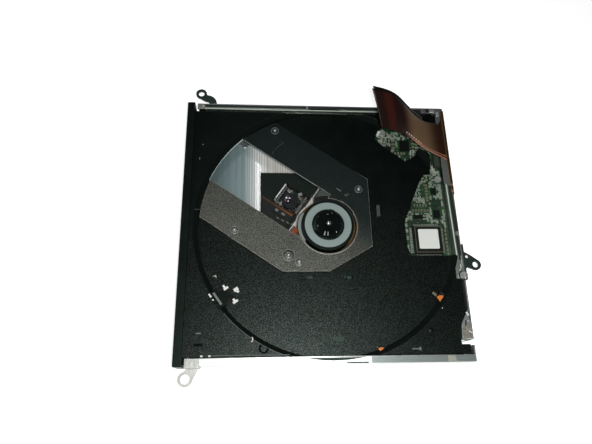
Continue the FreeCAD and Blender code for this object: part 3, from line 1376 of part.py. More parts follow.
def build():
    """Make every piece under its node name."""
    pieces["bottom_case"] = make_bottom_case()
    pieces["rail_guide_near"] = make_rail_guide(-1)
    pieces["rail_guide_far"] = make_rail_guide(1)
    pieces["main_board"] = make_board()
    pieces["controller_chip"] = make_chip()
    pieces["chip_leads"] = make_chip_leads()
    pieces["chip_label"] = make_chip_label()
    pieces["board_chips"] = make_small_chips()
    pieces["board_capacitors"] = make_capacitors()
    pieces["board_resistors"] = make_resistors()
    pieces["board_sockets"] = make_sockets()
    pieces["host_ribbon"] = make_ribbon()
    pieces["ribbon_backing"] = make_ribbon_backing()
    pieces["tray_flex"] = make_tray_flex()
    pieces["ear_far_front"] = make_far_ear()
    pieces["ear_near_front"] = make_near_ear()
    pieces["ear_rear"] = make_rear_ear()
    pieces["case_fasteners"] = make_case_fasteners()
    pieces["corner_pad"] = make_corner_pad()
    pieces["slide_rail_near"] = make_slide_rail(-1)
    pieces["slide_rail_far"] = make_slide_rail(1)
    pieces["tray"] = make_tray()
    pieces["front_bezel"] = make_bezel()
    pieces["disc_clip"] = make_disc_clip()
    pieces["button_board"] = make_button_board()
    pieces["push_switch"] = make_switch()
    pieces["lamp_lens"] = make_lamp()
    pieces["traverse_plate"] = make_traverse_plate()
    pieces["traverse_frame"] = make_traverse_frame()
    pieces["bottom_shield"] = make_shield()
    pieces["guide_shafts"] = make_shafts()
    pieces["sled_motor"] = make_sled_motor()
    pieces["damper_bushes"] = Part.makeCompound([make_damper(x, y) for x, y in damper_points])
    pieces["shoulder_screws"] = Part.makeCompound([make_shoulder_screw(x, y) for x, y in damper_points])
    pieces["spindle_stator"] = make_stator()
    pieces["motor_flex"] = make_motor_flex()
    pieces["latch_solenoid"] = make_solenoid()
    pieces["latch_spring"] = make_latch_spring()
    pieces["eject_pusher"] = make_pusher()
    pieces["pusher_spring"] = make_pusher_spring()
    pieces["eject_button"] = make_eject_button()
    pieces["switch_plunger"] = make_switch_plunger()
    pieces["latch_lever"] = make_latch_lever()
    pieces["solenoid_plunger"] = make_plunger()
    pieces["spindle_rotor"] = make_rotor()
    pieces["spindle_shaft"] = make_spindle_shaft()
    pieces["turntable_pad"] = make_pad()
    pieces["hub_cap"] = make_hub()
    for index, angle in enumerate(claw_angles()):
        pieces["hub_claw_%d" % (index + 1)] = make_claw(angle)
    pieces["pickup_body"] = make_pickup_body()
    pieces["pickup_cover"] = make_pickup_cover()
    pieces["pickup_flex"] = make_pickup_flex()
    pieces["actuator_yoke"] = make_yoke()
    pieces["actuator_magnets"] = make_magnets()
    pieces["lens_holder"] = make_lens_holder()
    pieces["objective_lens"] = make_lens()
    pieces["lead_nut"] = make_lead_nut()
    pieces["lead_screw"] = make_lead_screw()


def save():
    """Write one STEP file for each piece."""
    os.makedirs("parts", exist_ok=True)
    for name, shape in pieces.items():
        shape.exportStep("parts/%s.step" % name)
        facts = (name, len(shape.Solids), shape.isValid(), shape.Volume)
        print("%-20s solids %2d valid %s volume %9.2f" % facts)
    print(len(pieces), "pieces")


build()
save()
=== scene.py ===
"""Finishes, fine pieces, light and camera for the internal disc writer.

Sizes are in millimetres until a mesh is made. X points to the rear, Y to the far side and Z up.
A colour of three numbers is a display colour from 0 to 255, and one of four numbers is linear.
"""

import json
import logging
import math
from dataclasses import dataclass
from enum import Enum

import bmesh
import bpy
import numpy as np
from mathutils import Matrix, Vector

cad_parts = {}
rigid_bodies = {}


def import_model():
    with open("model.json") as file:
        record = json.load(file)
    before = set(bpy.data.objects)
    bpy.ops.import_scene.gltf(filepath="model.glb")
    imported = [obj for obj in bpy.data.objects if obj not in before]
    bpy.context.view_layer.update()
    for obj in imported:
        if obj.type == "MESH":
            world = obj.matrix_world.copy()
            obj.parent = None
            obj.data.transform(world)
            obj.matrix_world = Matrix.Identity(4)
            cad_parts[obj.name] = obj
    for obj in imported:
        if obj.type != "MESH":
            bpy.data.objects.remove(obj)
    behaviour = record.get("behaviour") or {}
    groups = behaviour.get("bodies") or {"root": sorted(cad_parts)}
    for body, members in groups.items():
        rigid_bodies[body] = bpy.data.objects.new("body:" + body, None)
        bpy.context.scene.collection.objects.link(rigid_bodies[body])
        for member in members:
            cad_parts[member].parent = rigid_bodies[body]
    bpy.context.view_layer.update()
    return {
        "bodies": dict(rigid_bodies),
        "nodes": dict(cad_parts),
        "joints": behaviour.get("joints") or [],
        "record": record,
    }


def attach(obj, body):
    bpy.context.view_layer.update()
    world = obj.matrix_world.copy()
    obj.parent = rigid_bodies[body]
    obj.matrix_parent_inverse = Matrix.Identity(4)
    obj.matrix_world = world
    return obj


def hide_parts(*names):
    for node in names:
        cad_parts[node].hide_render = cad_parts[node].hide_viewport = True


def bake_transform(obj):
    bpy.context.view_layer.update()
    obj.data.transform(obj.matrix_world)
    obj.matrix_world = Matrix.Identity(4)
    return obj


MM = 0.001
TURN = 2.0 * math.pi
SMOOTH_ANGLE = math.radians(35.0)
SLOT_DEGREES = 145.5
SLOT_X = math.cos(math.radians(SLOT_DEGREES))
SLOT_Y = math.sin(math.radians(SLOT_DEGREES))
RIM_MIDDLE = 9.8
WHITE = (1.0, 1.0, 1.0, 1.0)
LOG = logging.getLogger("disc_writer")
Pair = tuple[float, float]
Triple = tuple[float, float, float]
Colour = tuple[float, ...]
Row = tuple[float, ...]
Number = float | np.ndarray
Socket = bpy.types.NodeSocket
Material = bpy.types.Material


class Grain(Enum):
    """Direction of the grain in a rolled or brushed metal."""

    ALONG_X = (0.04, 1.0, 1.0)
    ALONG_Y = (1.0, 0.04, 1.0)
    STRIPES = (1.0, 0.012, 1.0)
    EVEN = (1.0, 1.0, 1.0)


def tint(colour: Colour) -> Colour:
    """Linear colour of an 8-bit display colour.

    Args:
        colour: red, green and blue from 0 to 255.

    Returns:
        Linear red, green, blue and full alpha.
    """
    share = np.array(colour, float) / 255.0
    linear = np.where(share <= 0.04045, share / 12.92, ((share + 0.055) / 1.055) ** 2.4)
    return float(linear[0]), float(linear[1]), float(linear[2]), 1.0


class Wire:
    """A shader value whose operators add Math nodes."""

    def __init__(self, tree: "Nodes", socket: Socket) -> None:
        """Keep the tree and the socket that carries the value."""
        self.tree = tree
        self.socket = socket

    def maths(self, operation: str, *others: "Wire | float") -> "Wire":
        """Math node on this value and others.

        Args:
            operation: name of the Math node's operation.
            others: the further operands.

        Returns:
            The node's result.
        """
        return self.tree.wire("ShaderNodeMath", dict(enumerate((self,) + others)), operation=operation)

    def __add__(self, other: "Wire | float") -> "Wire":
        """Sum."""
        return self.maths("ADD", other)

    __radd__ = __add__

    def __sub__(self, other: "Wire | float") -> "Wire":
        """Difference."""
        return self.maths("SUBTRACT", other)

    def __rsub__(self, other: float) -> "Wire":
        """Difference from a number."""
        return (self * -1.0) + other

    def __mul__(self, other: "Wire | float") -> "Wire":
        """Product."""
        return self.maths("MULTIPLY", other)

    __rmul__ = __mul__

    def sine(self) -> "Wire":
        """Sine of the value in radians."""
        return self.maths("SINE")

    def size(self) -> "Wire":
        """The value without its sign."""
        return self.maths("ABSOLUTE")

    def capped(self) -> "Wire":
        """The value, or 1 where it is larger."""
        return self.maths("MINIMUM", 1.0)

    def over(self, limit: float) -> "Wire":
        """One where the value is above the limit."""
        return self.maths("GREATER_THAN", limit)

    def most(self, other: "Wire | Socket") -> "Wire":
        """The larger of two values."""
        return self.maths("MAXIMUM", other)

    def rise(self, low: float, high: float) -> "Wire":
        """Smooth step from 0 at low to 1 at high."""
        inputs = {"Value": self, "From Min": low, "From Max": high}
        return self.tree.wire("ShaderNodeMapRange", inputs, interpolation_type="SMOOTHSTEP")

    def band(self, middle: float, half: float, soft: float) -> "Wire":
        """One within half of the middle, falling to 0 over soft."""
        return 1.0 - (self - middle).size().rise(half, half + soft)


class Nodes:
    """Node tree of a material or of the world."""

    def __init__(self, holder: Material | bpy.types.World) -> None:
        """Start without nodes.

        Args:
            holder: the material or world that owns the tree.
        """
        holder.use_nodes = True
        self.nodes = holder.node_tree.nodes
        self.links = holder.node_tree.links
        self.nodes.clear()

    def feed(self, socket: Socket, value: object) -> None:
        """Give a socket a constant, or link a wire or another socket to it.

        Args:
            socket: the input.
            value: the constant, wire or output.
        """
        source = value.socket if isinstance(value, Wire) else value
        if isinstance(source, Socket):
            self.links.new(source, socket)
        else:
            socket.default_value = source

    def add(self, kind: str, inputs: dict | None = None, **settings: object) -> bpy.types.Node:
        """Add a node.

        Args:
            kind: the node's type.
            inputs: values, sockets or wires for its sockets, by name or index.
            settings: the node's own properties, which are set first.

        Returns:
            The new node.
        """
        node = self.nodes.new(kind)
        for key, value in settings.items():
            setattr(node, key, value)
        for key, value in (inputs or {}).items():
            self.feed(node.inputs[key], value)
        return node

    def wire(self, kind: str, inputs: dict | None = None, output: int | str = 0, **settings: object) -> Wire:
        """Add a node and give the wire from one of its outputs."""
        return Wire(self, self.add(kind, inputs, **settings).outputs[output])


class Tree(Nodes):
    """Nodes of one material, with coordinates in millimetres."""

    def __init__(self, name: str) -> None:
        """Start a material with its shader, output and coordinates.

        Args:
            name: the material's name.
        """
        self.material = bpy.data.materials.new(name)
        super().__init__(self.material)
        self.shader = self.add("ShaderNodeBsdfPrincipled")
        self.output = self.add("ShaderNodeOutputMaterial", {"Surface": self.shader.outputs[0]})
        self.coordinates = self.add("ShaderNodeTexCoord")
        self.place = self.stretched(self.coordinates.outputs["Object"], (1.0 / MM, 1.0 / MM, 1.0 / MM))

    def stretched(self, vector: Socket, scale: Triple) -> Socket:
        """Vector with each axis multiplied."""
        return self.add("ShaderNodeVectorMath", {0: vector, 1: scale}, operation="MULTIPLY").outputs[0]

    def axis(self, index: int) -> Wire:
        """One coordinate of the place, in millimetres."""
        return self.wire("ShaderNodeSeparateXYZ", {0: self.place}, index)

    def across(self, index: int) -> Wire:
        """One coordinate of the piece's own UV map."""
        return self.wire("ShaderNodeSeparateXYZ", {0: self.coordinates.outputs["UV"]}, index)

    def slot_axes(self) -> tuple[Wire, Wire]:
        """Places along and across the pickup's path, in millimetres from the spindle."""
        x, y = self.axis(0), self.axis(1)
        return x * SLOT_X + y * SLOT_Y, y * SLOT_X - x * SLOT_Y

    def noise(self, size: float, detail: float = 3.0, grain: Grain = Grain.EVEN) -> Wire:
        """Noise with features of about a size.

        Args:
            size: size of the features in millimetres.
            detail: octaves.
            grain: direction in which it is drawn out.

        Returns:
            The noise, from 0 to 1.
        """
        vector = self.place if grain is Grain.EVEN else self.stretched(self.place, grain.value)
        return self.wire("ShaderNodeTexNoise", {"Vector": vector, "Scale": 1.0 / size, "Detail": detail})

    def cells(self, size: float) -> Wire:
        """One in the middle of each cell of a pattern, falling with the distance from it."""
        return 1.0 - self.wire("ShaderNodeTexVoronoi", {"Vector": self.place, "Scale": 1.0 / size})

    def courses(self, width: float, height: float, line: float) -> Wire:
        """Lines of a staggered grid of oblongs, as circuit tracks.

        Args:
            width: length of an oblong in millimetres.
            height: its height.
            line: width of the lines.

        Returns:
            One on the lines.
        """
        inputs = {"Vector": self.place, "Scale": 1.0, "Mortar Size": line, "Mortar Smooth": 0.1,
                  "Brick Width": width, "Row Height": height}
        return self.wire("ShaderNodeTexBrick", inputs, 1, offset=0.37, squash=1.7, squash_frequency=3)

    def blend(self, share: Wire, first: object, second: object) -> Socket:
        """Colour between two.

        Args:
            share: 0 for the first and 1 for the second.
            first: a display colour, a linear colour or a socket.
            second: the same.

        Returns:
            The mixed colour.
        """
        pair = [tint(one) if isinstance(one, tuple) and len(one) == 3 else one for one in (first, second)]
        return self.add("ShaderNodeMix", {0: share, 6: pair[0], 7: pair[1]}, data_type="RGBA").outputs[2]

    def rounded(self, radius: float) -> Socket:
        """Normal that rounds sharp edges by a radius in millimetres."""
        return self.add("ShaderNodeBevel", {"Radius": radius * MM}, samples=6).outputs[0]

    def edges(self, radius: float) -> Wire:
        """One along sharp edges, fading away from them.

        Args:
            radius: the reach in millimetres.

        Returns:
            The share of the edge.
        """
        flat = self.add("ShaderNodeNewGeometry").outputs["True Normal"]
        inputs = {0: self.rounded(radius), 1: flat}
        same = self.wire("ShaderNodeVectorMath", inputs, "Value", operation="DOT_PRODUCT")
        return (1.0 - same).rise(0.02, 0.2)

    def bump(self, height: Wire, depth: float, normal: Socket | None = None) -> Socket:
        """Bumped normal.

        Args:
            height: the height from 0 to 1.
            depth: its full depth in millimetres.
            normal: the normal underneath.

        Returns:
            The bumped normal.
        """
        inputs = {"Height": height, "Distance": depth * MM, "Strength": 1.0}
        if normal is not None:
            inputs["Normal"] = normal
        return self.add("ShaderNodeBump", inputs).outputs[0]

    def surface(self, **values: object) -> Material:
        """Set the shader's sockets by name, with _ for a space.

        Args:
            values: numbers, colours, sockets or wires.

        Returns:
            The finished material.
        """
        for key, value in values.items():
            self.feed(self.shader.inputs[key.replace("_", " ")], value)
        return self.material


@dataclass(frozen=True)
class Moulded:
    """Moulded plastic with a fine spark texture whose points glint, pale specks of dust and rubbed edges."""

    colour: Colour
    rubbed: Colour
    roughness: float = 0.5
    grain: float = 0.22
    depth: float = 0.008
    dust: float = 0.0
    edge: float = 0.35
    level: float = 0.3
    glint: float = 0.0
    sheen: Colour = (214, 255, 236)

    def make(self, name: str) -> Material:
        """Material of the plastic. The glint leaves out the tray's sloping rim and fades to the far side.

        Args:
            name: the material's name.

        Returns:
            The material.
        """
        tree = Tree(name)
        cloud = tree.noise(9.0, 4.0)
        fine = tree.noise(self.grain, 2.0)
        edge = tree.edges(0.16) * self.edge
        speck = tree.cells(0.9).rise(0.9, 0.97) * tree.noise(2.1, 1.0).rise(0.5, 0.7) * self.dust
        share = (edge + speck + cloud.rise(0.35, 0.75) * 0.02).capped()
        rough = (cloud * 0.16) + (fine * 0.08) + (self.roughness - 0.12)
        off_rim = (tree.axis(2) - RIM_MIDDLE).size().rise(0.86, 0.94)
        near = (30.0 - tree.axis(1)).rise(0.0, 45.0) * 0.85 + 0.15
        points = tree.noise(0.34, 1.0).rise(0.5, 0.64)
        return tree.surface(
            Base_Color=tree.blend(share, self.colour, self.rubbed),
            Roughness=rough + (1.0 - off_rim) * self.glint * 0.4,
            Normal=tree.bump(fine, self.depth, tree.rounded(0.1)),
            Specular_IOR_Level=self.level,
            Specular_Tint=tint(self.sheen),
            Coat_Weight=points * (off_rim * near) * self.glint,
            Coat_Roughness=0.42,
            Coat_Tint=tint(self.sheen),
        )


@dataclass(frozen=True)
class Rolled:
    """Rolled or brushed sheet metal with long scratches and bright cut edges."""

    colour: Colour
    shade: Colour
    roughness: float = 0.32
    grain: Grain = Grain.ALONG_X
    thread: float = 0.16
    depth: float = 0.004
    metal: float = 1.0
    stain: float = 0.3

    def make(self, name: str) -> Material:
        """Material of the sheet.

        Args:
            name: the material's name.

        Returns:
            The material.
        """
        tree = Tree(name)
        brushed = tree.noise(self.thread, 3.0, self.grain)
        stain = tree.noise(7.0, 5.0).rise(0.35, 0.75) * self.stain
        share = (brushed.rise(0.3, 0.7) * 0.55 + stain).capped()
        body = tree.blend(share, self.colour, self.shade)
        cut = tuple(min(255.0, part * 1.25) for part in self.colour)
        return tree.surface(
            Base_Color=tree.blend(tree.edges(0.14) * 0.5, body, cut),
            Metallic=self.metal,
            Roughness=(brushed * 0.14) + (stain * 0.2) + (self.roughness - 0.08),
            Normal=tree.bump(brushed, self.depth, tree.rounded(0.09)),
        )


@dataclass(frozen=True)
class Speckled:
    """Plated sheet with a coarse sugary speckle. Painted shade makes it darker and greener beyond the
    pickup's path, and painted highlights lie on its near and rear edges.
    """

    dark: Colour = (34, 37, 34)
    light: Colour = (138, 140, 131)
    # The far colours are painted shade beyond the pickup's path, and lit is a painted highlight on edges.
    painted_shade_dark: Colour = (34, 43, 42)
    painted_shade_light: Colour = (62, 74, 71)
    lit: Colour = (226, 226, 214)
    roughness: float = 0.44
    size: float = 0.38

    def make(self, name: str) -> Material:
        """Material of the plating.

        Args:
            name: the material's name.

        Returns:
            The material.
        """
        tree = Tree(name)
        across = tree.slot_axes()[1]
        cloud = tree.noise(14.0, 3.0)
        grain = (tree.noise(self.size, 2.0) * 0.7 + tree.noise(self.size * 0.4, 1.0) * 0.3).rise(0.4, 0.62)
        near = tree.blend(grain * 0.85 + cloud * 0.1, self.dark, self.light)
        # Painted shade: darker, greener speckle beyond the pickup's path.
        away = tree.blend(grain * 0.7, self.painted_shade_dark, self.painted_shade_light)
        # Painted highlight along sharp edges on the near side and at the rear.
        edge = tree.edges(0.34) * across.rise(-20.0, -12.0).most(tree.axis(0).rise(14.0, 20.0))
        return tree.surface(
            Base_Color=tree.blend(edge, tree.blend(across.rise(-16.0, 13.0), away, near), self.lit),
            Metallic=0.97 - (edge * 0.6),
            Roughness=(grain * -0.06) + (cloud * 0.1) + self.roughness,
            Normal=tree.bump(grain, 0.05, tree.rounded(0.2)),
        )


@dataclass(frozen=True)
class Striped:
    """Rolled cover sheet with fine stripes along Y, blue-grey at the front, with a painted highlight that
    makes it near white towards the rear.
    """

    front: Colour = (98, 116, 118)
    middle: Colour = (138, 158, 160)
    # The bright colour is a painted highlight.
    bright: Colour = (255, 255, 253)
    cream: Colour = (232, 230, 220)
    shade: Colour = (70, 84, 88)
    line: float = 0.8
    wave: float = 1.25

    def make(self, name: str) -> Material:
        """Material of the bright sheet.

        Args:
            name: the material's name.

        Returns:
            The material.
        """
        tree = Tree(name)
        back = tree.axis(0)
        lines = tree.noise(self.line, 1.0, Grain.STRIPES).rise(0.4, 0.6)
        wave = (back * (TURN / self.wave)).sine().rise(-0.5, 0.5)
        grain = tree.noise(0.45, 2.0).rise(0.3, 0.7)
        # Painted highlight: from blue-grey at the front through the middle colour, in waves, to near white
        # towards the rear, then cream.
        pale = tree.blend(back.rise(-58.0, -40.0), self.front, self.middle)
        white = tree.blend(back.rise(-42.0, -33.2) * (wave * 0.5 + 0.5), pale, self.bright)
        after = tree.blend(back.rise(-30.6, -28.6), white, self.cream)
        share = lines * 0.16 + grain * 0.1 + wave * back.rise(-31.0, -28.0) * 0.18
        return tree.surface(
            Base_Color=tree.blend(share, after, self.shade),
            Metallic=0.15,
            Roughness=(lines * 0.1) + (grain * 0.05) + 0.3,
            Coat_Weight=back.rise(-35.4, -34.2) * (1.0 - back.rise(-32.2, -31.2)) * 0.9,
            Coat_Roughness=0.1,
            Normal=tree.bump(lines * 0.8 + grain * 0.2, 0.0012),
        )


@dataclass(frozen=True)
class Cast:
    """Die-cast or sintered metal with a grainy skin."""

    colour: Colour
    light: Colour
    roughness: float = 0.5
    metal: float = 0.7

    def make(self, name: str) -> Material:
        """Material of the casting.

        Args:
            name: the material's name.

        Returns:
            The material.
        """
        tree = Tree(name)
        skin = tree.noise(0.35, 4.0)
        body = tree.blend(skin.rise(0.3, 0.7) * 0.5 + tree.noise(5.0) * 0.2, self.colour, self.light)
        return tree.surface(
            Base_Color=tree.blend(tree.edges(0.18) * 0.55, body, self.light),
            Metallic=self.metal,
            Roughness=(skin * 0.15) + (self.roughness - 0.08),
            Normal=tree.bump(skin, 0.014, tree.rounded(0.15)),
        )


@dataclass(frozen=True)
class Board:
    """Solder mask over copper tracks, with ringed vias."""

    mask: Colour = (6, 22, 12)
    copper: Colour = (50, 94, 58)
    ring: Colour = (190, 206, 182)
    core: Colour = (120, 118, 84)

    def make(self, name: str) -> Material:
        """Material of the circuit board.

        Args:
            name: the material's name.

        Returns:
            The material.
        """
        tree = Tree(name)
        tracks = tree.courses(3.1, 0.62, 0.09).most(tree.courses(1.3, 2.4, 0.07))
        pour = tree.noise(6.0, 1.0).over(0.55) * 0.35
        dots = tree.cells(1.7)
        vias = dots.rise(0.86, 0.9)
        body = tree.blend((tracks * 0.7 + pour).capped(), self.mask, self.copper)
        ringed = tree.blend((vias - dots.rise(0.91, 0.95)) * 0.9, body, self.ring)
        return tree.surface(
            Base_Color=tree.blend(tree.edges(0.12) * 0.5, ringed, self.core),
            Roughness=(tracks * -0.06) + (tree.noise(1.2) * 0.1) + 0.32,
            Normal=tree.bump(tracks + vias * 0.5, 0.02),
            Coat_Weight=0.3,
            Coat_Roughness=0.2,
        )


@dataclass(frozen=True)
class Film:
    """Polyimide film with copper tracks along X showing through."""

    colour: Colour = (150, 76, 20)
    track: Colour = (214, 132, 52)
    edge: Colour = (236, 170, 92)
    pitch: float = 0.5

    def make(self, name: str) -> Material:
        """Material of the flexible circuit.

        Args:
            name: the material's name.

        Returns:
            The material.
        """
        tree = Tree(name)
        tracks = (tree.axis(1) * (TURN / self.pitch)).sine().rise(-0.2, 0.4)
        cloud = tree.noise(4.0)
        body = tree.blend(tracks * 0.6 + cloud * 0.2, self.colour, self.track)
        return tree.surface(
            Base_Color=tree.blend(tree.edges(0.1) * 0.6, body, self.edge),
            Roughness=(cloud * 0.15) + 0.28,
            Normal=tree.bump(tracks, 0.01),
            Coat_Weight=0.4,
            Coat_Roughness=0.15,
        )


@dataclass(frozen=True)
class PickupFilm:
    """Black cover film with two bright copper tracks that widen towards the spindle."""

    colour: Colour = (16, 22, 20)
    light: Colour = (40, 46, 43)
    track: Colour = (158, 92, 44)
    far_track: float = 4.45
    near_track: float = 5.15
    soft: float = 0.08

    def make(self, name: str) -> Material:
        """Material of the film. The tracks follow the pickup's path.

        Args:
            name: the material's name.

        Returns:
            The material.
        """
        tree = Tree(name)
        out, side = tree.slot_axes()
        widening = (30.0 - out).rise(0.0, 14.0) * 0.14 + 0.05
        upper = 1.0 - ((side - self.far_track).size() - widening).rise(0.0, self.soft)
        lower = 1.0 - ((side - self.near_track).size() - widening * 0.6).rise(0.0, self.soft)
        cloud = tree.noise(1.4)
        body = tree.blend(cloud * 0.3, self.colour, self.light)
        return tree.surface(
            Base_Color=tree.blend(upper.most(lower) * 0.9, body, self.track),
            Roughness=(cloud * 0.15) + 0.4,
            Normal=tree.bump(cloud, 0.01),
            Specular_IOR_Level=0.3,
        )


@dataclass(frozen=True)
class Soft:
    """Rubber, foam, paper, paint or bare ceramic, with a matt fine-grained skin."""

    colour: Colour
    light: Colour
    roughness: float = 0.7
    grain: float = 0.2
    depth: float = 0.01

    def make(self, name: str) -> Material:
        """Material of the soft part.

        Args:
            name: the material's name.

        Returns:
            The material.
        """
        tree = Tree(name)
        grain = tree.noise(self.grain)
        share = grain.rise(0.25, 0.75) * 0.5 + tree.noise(3.0) * 0.3 + tree.edges(0.12) * 0.2
        return tree.surface(
            Base_Color=tree.blend(share, self.colour, self.light),
            Roughness=(grain * 0.12) + (self.roughness - 0.06),
            Normal=tree.bump(grain, self.depth, tree.rounded(0.08)),
        )


@dataclass(frozen=True)
class LensGlass:
    """Coated glass of the objective lens."""

    colour: Colour = (11, 11, 12)
    bloom: Colour = (120, 96, 124)

    def make(self, name: str) -> Material:
        """Material of the coated lens.

        Args:
            name: the material's name.

        Returns:
            The material.
        """
        tree = Tree(name)
        facing = tree.wire("ShaderNodeLayerWeight", {"Blend": 0.35}, 1)
        cloud = tree.noise(1.5, 2.0)
        return tree.surface(
            Base_Color=tree.blend(facing * 0.8 + cloud * 0.2, self.colour, self.bloom),
            Roughness=cloud * 0.04 + 0.03,
            Metallic=0.35,
            Coat_Weight=1.0,
            Coat_Roughness=0.02,
        )


@dataclass(frozen=True)
class RibbonFilm:
    """Brown host ribbon: dark red tip, a pale band and a band at the fold that are painted highlights,
    dashes and thin edge lines, in its own UV map.
    """

    body: Colour = (36, 15, 6)
    conductor: Colour = (62, 36, 22)
    tip: Colour = (26, 6, 2)
    red: Colour = (58, 15, 5)
    # The sheen and fold colours are painted highlights.
    sheen: Colour = (108, 86, 62)
    fold: Colour = (104, 92, 44)
    line: Colour = (176, 120, 92)
    glint: Colour = (226, 190, 160)

    def make(self, name: str) -> Material:
        """Material of the ribbon. U runs from the wall to the tip and V from the near to the far edge.

        Args:
            name: the material's name.

        Returns:
            The material.
        """
        tree = Tree(name)
        along = tree.across(0)
        side = tree.across(1)
        wobble = tree.noise(6.0) * 0.03
        uneven = along + wobble
        conductors = (side * 230.0).sine().rise(-0.3, 0.7)
        tip = uneven.rise(0.66, 0.8)
        lines = side.band(0.03, 0.012, 0.01).most(side.band(0.1, 0.008, 0.01)) * (1.0 - tip)
        dashed = side.band(0.12, 0.01, 0.012) * uneven.band(0.7, 0.07, 0.02)
        dashes = (along * 260.0).sine().over(0.0) * dashed
        colour = tree.blend(conductors * 0.25 + wobble * 3.0, self.body, self.conductor)
        # The sheen band and the fold band laid on here are painted highlights.
        for share, over in ((tip, self.tip), (uneven.band(0.9, 0.02, 0.03) * 0.8, self.red),
                            (uneven.band(0.61, 0.04, 0.13) * 0.8, self.sheen),
                            (along.band(0.3, 0.025, 0.05) * 0.7, self.fold),
                            (lines * 0.75, self.line), (dashes * 0.9, self.glint)):
            colour = tree.blend(share, colour, over)
        return tree.surface(
            Base_Color=colour,
            Roughness=(tree.noise(0.7, 2.0) * 0.12) + 0.36,
            Normal=tree.bump(conductors, 0.02),
            Specular_IOR_Level=0.25,
            Coat_Weight=0.08,
            Coat_Roughness=0.2,
        )


def slot_finishes() -> dict[str, object]:
    """Finishes of the record's material slots.

    Returns:
        Each slot's finish, by the slot's name.
    """
    black = (4, 6, 5)
    worn = (70, 80, 76)
    return {
        "case_steel": Rolled((206, 212, 208), (176, 184, 180), 0.42, Grain.ALONG_X, 0.2, 0.001, 0.97, 0.1),
        "guide_plastic": Moulded((20, 24, 23), worn),
        "rail_steel": Rolled((176, 180, 174), (116, 122, 116), 0.28),
        "board_green": Board(),
        "chip_grey": Moulded((20, 22, 20), (118, 116, 98), 0.48, 0.12, 0.006, 0.0, 0.9),
        "lead_tin": Rolled((206, 212, 202), (164, 172, 160), 0.36, Grain.EVEN, 0.16, 0.001, 0.4, 0.1),
        "label_white": Soft((240, 242, 236), (226, 230, 224), 0.62, 0.12, 0.004),
        "chip_black": Moulded((16, 18, 17), (64, 68, 64), 0.45, 0.12, 0.006),
        "ceramic": Soft((96, 94, 76), (150, 148, 124), 0.5, 0.15, 0.005),
        "resistor": Soft((20, 21, 20), (60, 60, 56), 0.4, 0.15, 0.005),
        "socket_plastic": Moulded((62, 68, 60), (132, 138, 126), 0.5, 0.3, 0.006, 0.1, 0.4),
        "ribbon_brown": RibbonFilm(),
        "ribbon_dark": Moulded((10, 13, 10), (40, 46, 38), 0.35, 0.4, 0.01),
        "flex_orange": Film(),
        "ear_black": Moulded((42, 52, 48), (98, 108, 104), 0.38, 0.3, 0.008, 0.2, 0.45),
        "ear_bright": Rolled((208, 210, 204), (158, 160, 154), 0.4, Grain.ALONG_Y, 0.3, 0.001, 0.5, 0.4),
        "fastener": Rolled((214, 216, 210), (160, 162, 156), 0.34, Grain.EVEN, 0.2, 0.001, 0.6, 0.1),
        "foam": Soft((84, 82, 74), (170, 166, 152), 0.7, 1.0),
        "tray_plastic": Moulded(black, worn, 0.45, 0.42, 0.03, 0.3, 0.08, 0.15, 1.0),
        "bezel_plastic": Moulded(black, worn, 0.42, 0.3, 0.01, 0.1, 0.14, 0.25),
        "clip_plastic": Moulded(black, (50, 56, 54), 0.5, 0.4, 0.008, 0.05, 0.3, 0.15),
        "button_plastic": Moulded((14, 18, 17), worn, 0.42, 0.18, 0.006),
        "lamp_clear": Soft((168, 176, 172), (206, 212, 208), 0.2, 0.6, 0.003),
        "switch_plastic": Moulded((30, 33, 32), (96, 100, 98), 0.45),
        "plate_nickel": Speckled(),
        "frame_cast": Cast((46, 52, 49), (104, 110, 104), 0.45, 0.3),
        "shield_bright": Striped(),
        "shaft_steel": Rolled((206, 208, 206), (160, 164, 162), 0.16, Grain.EVEN, 0.3, 0.001),
        "motor_can": Rolled((160, 164, 160), (110, 116, 112), 0.3, Grain.ALONG_Y),
        "rubber": Soft((14, 16, 15), (40, 44, 42), 0.75),
        "stator": Cast((96, 84, 60), (196, 152, 84), 0.42, 0.7),
        "turntable_metal": Moulded((9, 10, 10), (60, 62, 60), 0.4, 0.3, 0.004, 0.05, 0.3, 0.3),
        "pad_rubber": Soft((120, 138, 136), (150, 164, 160), 0.6, 0.16, 0.006),
        "hub_black": Moulded(black, (60, 66, 64), 0.3, 0.2, 0.004, 0.0, 0.15, 0.3),
        "claw_black": Moulded((16, 20, 19), (120, 126, 122), 0.34, 0.2, 0.004),
        "pickup_cast": Cast((30, 34, 32), (70, 72, 66), 0.5, 0.5),
        "cover_dark": Moulded((17, 21, 19), (84, 84, 72), 0.5, 0.5, 0.02, 0.2, 0.6, 0.25),
        "yoke": Rolled((190, 194, 190), (130, 134, 130), 0.26, Grain.EVEN),
        "magnet": Rolled((120, 124, 124), (84, 88, 88), 0.24, Grain.EVEN),
        "lens_mould": Moulded((26, 26, 30), (110, 96, 112), 0.36, 0.2, 0.004),
        "lens": LensGlass(),
        "nut_plastic": Moulded((206, 204, 192), (230, 228, 220), 0.42, 0.25, 0.004),
        "lever_plastic": Moulded((190, 190, 180), (226, 224, 216), 0.42, 0.25, 0.004),
    }


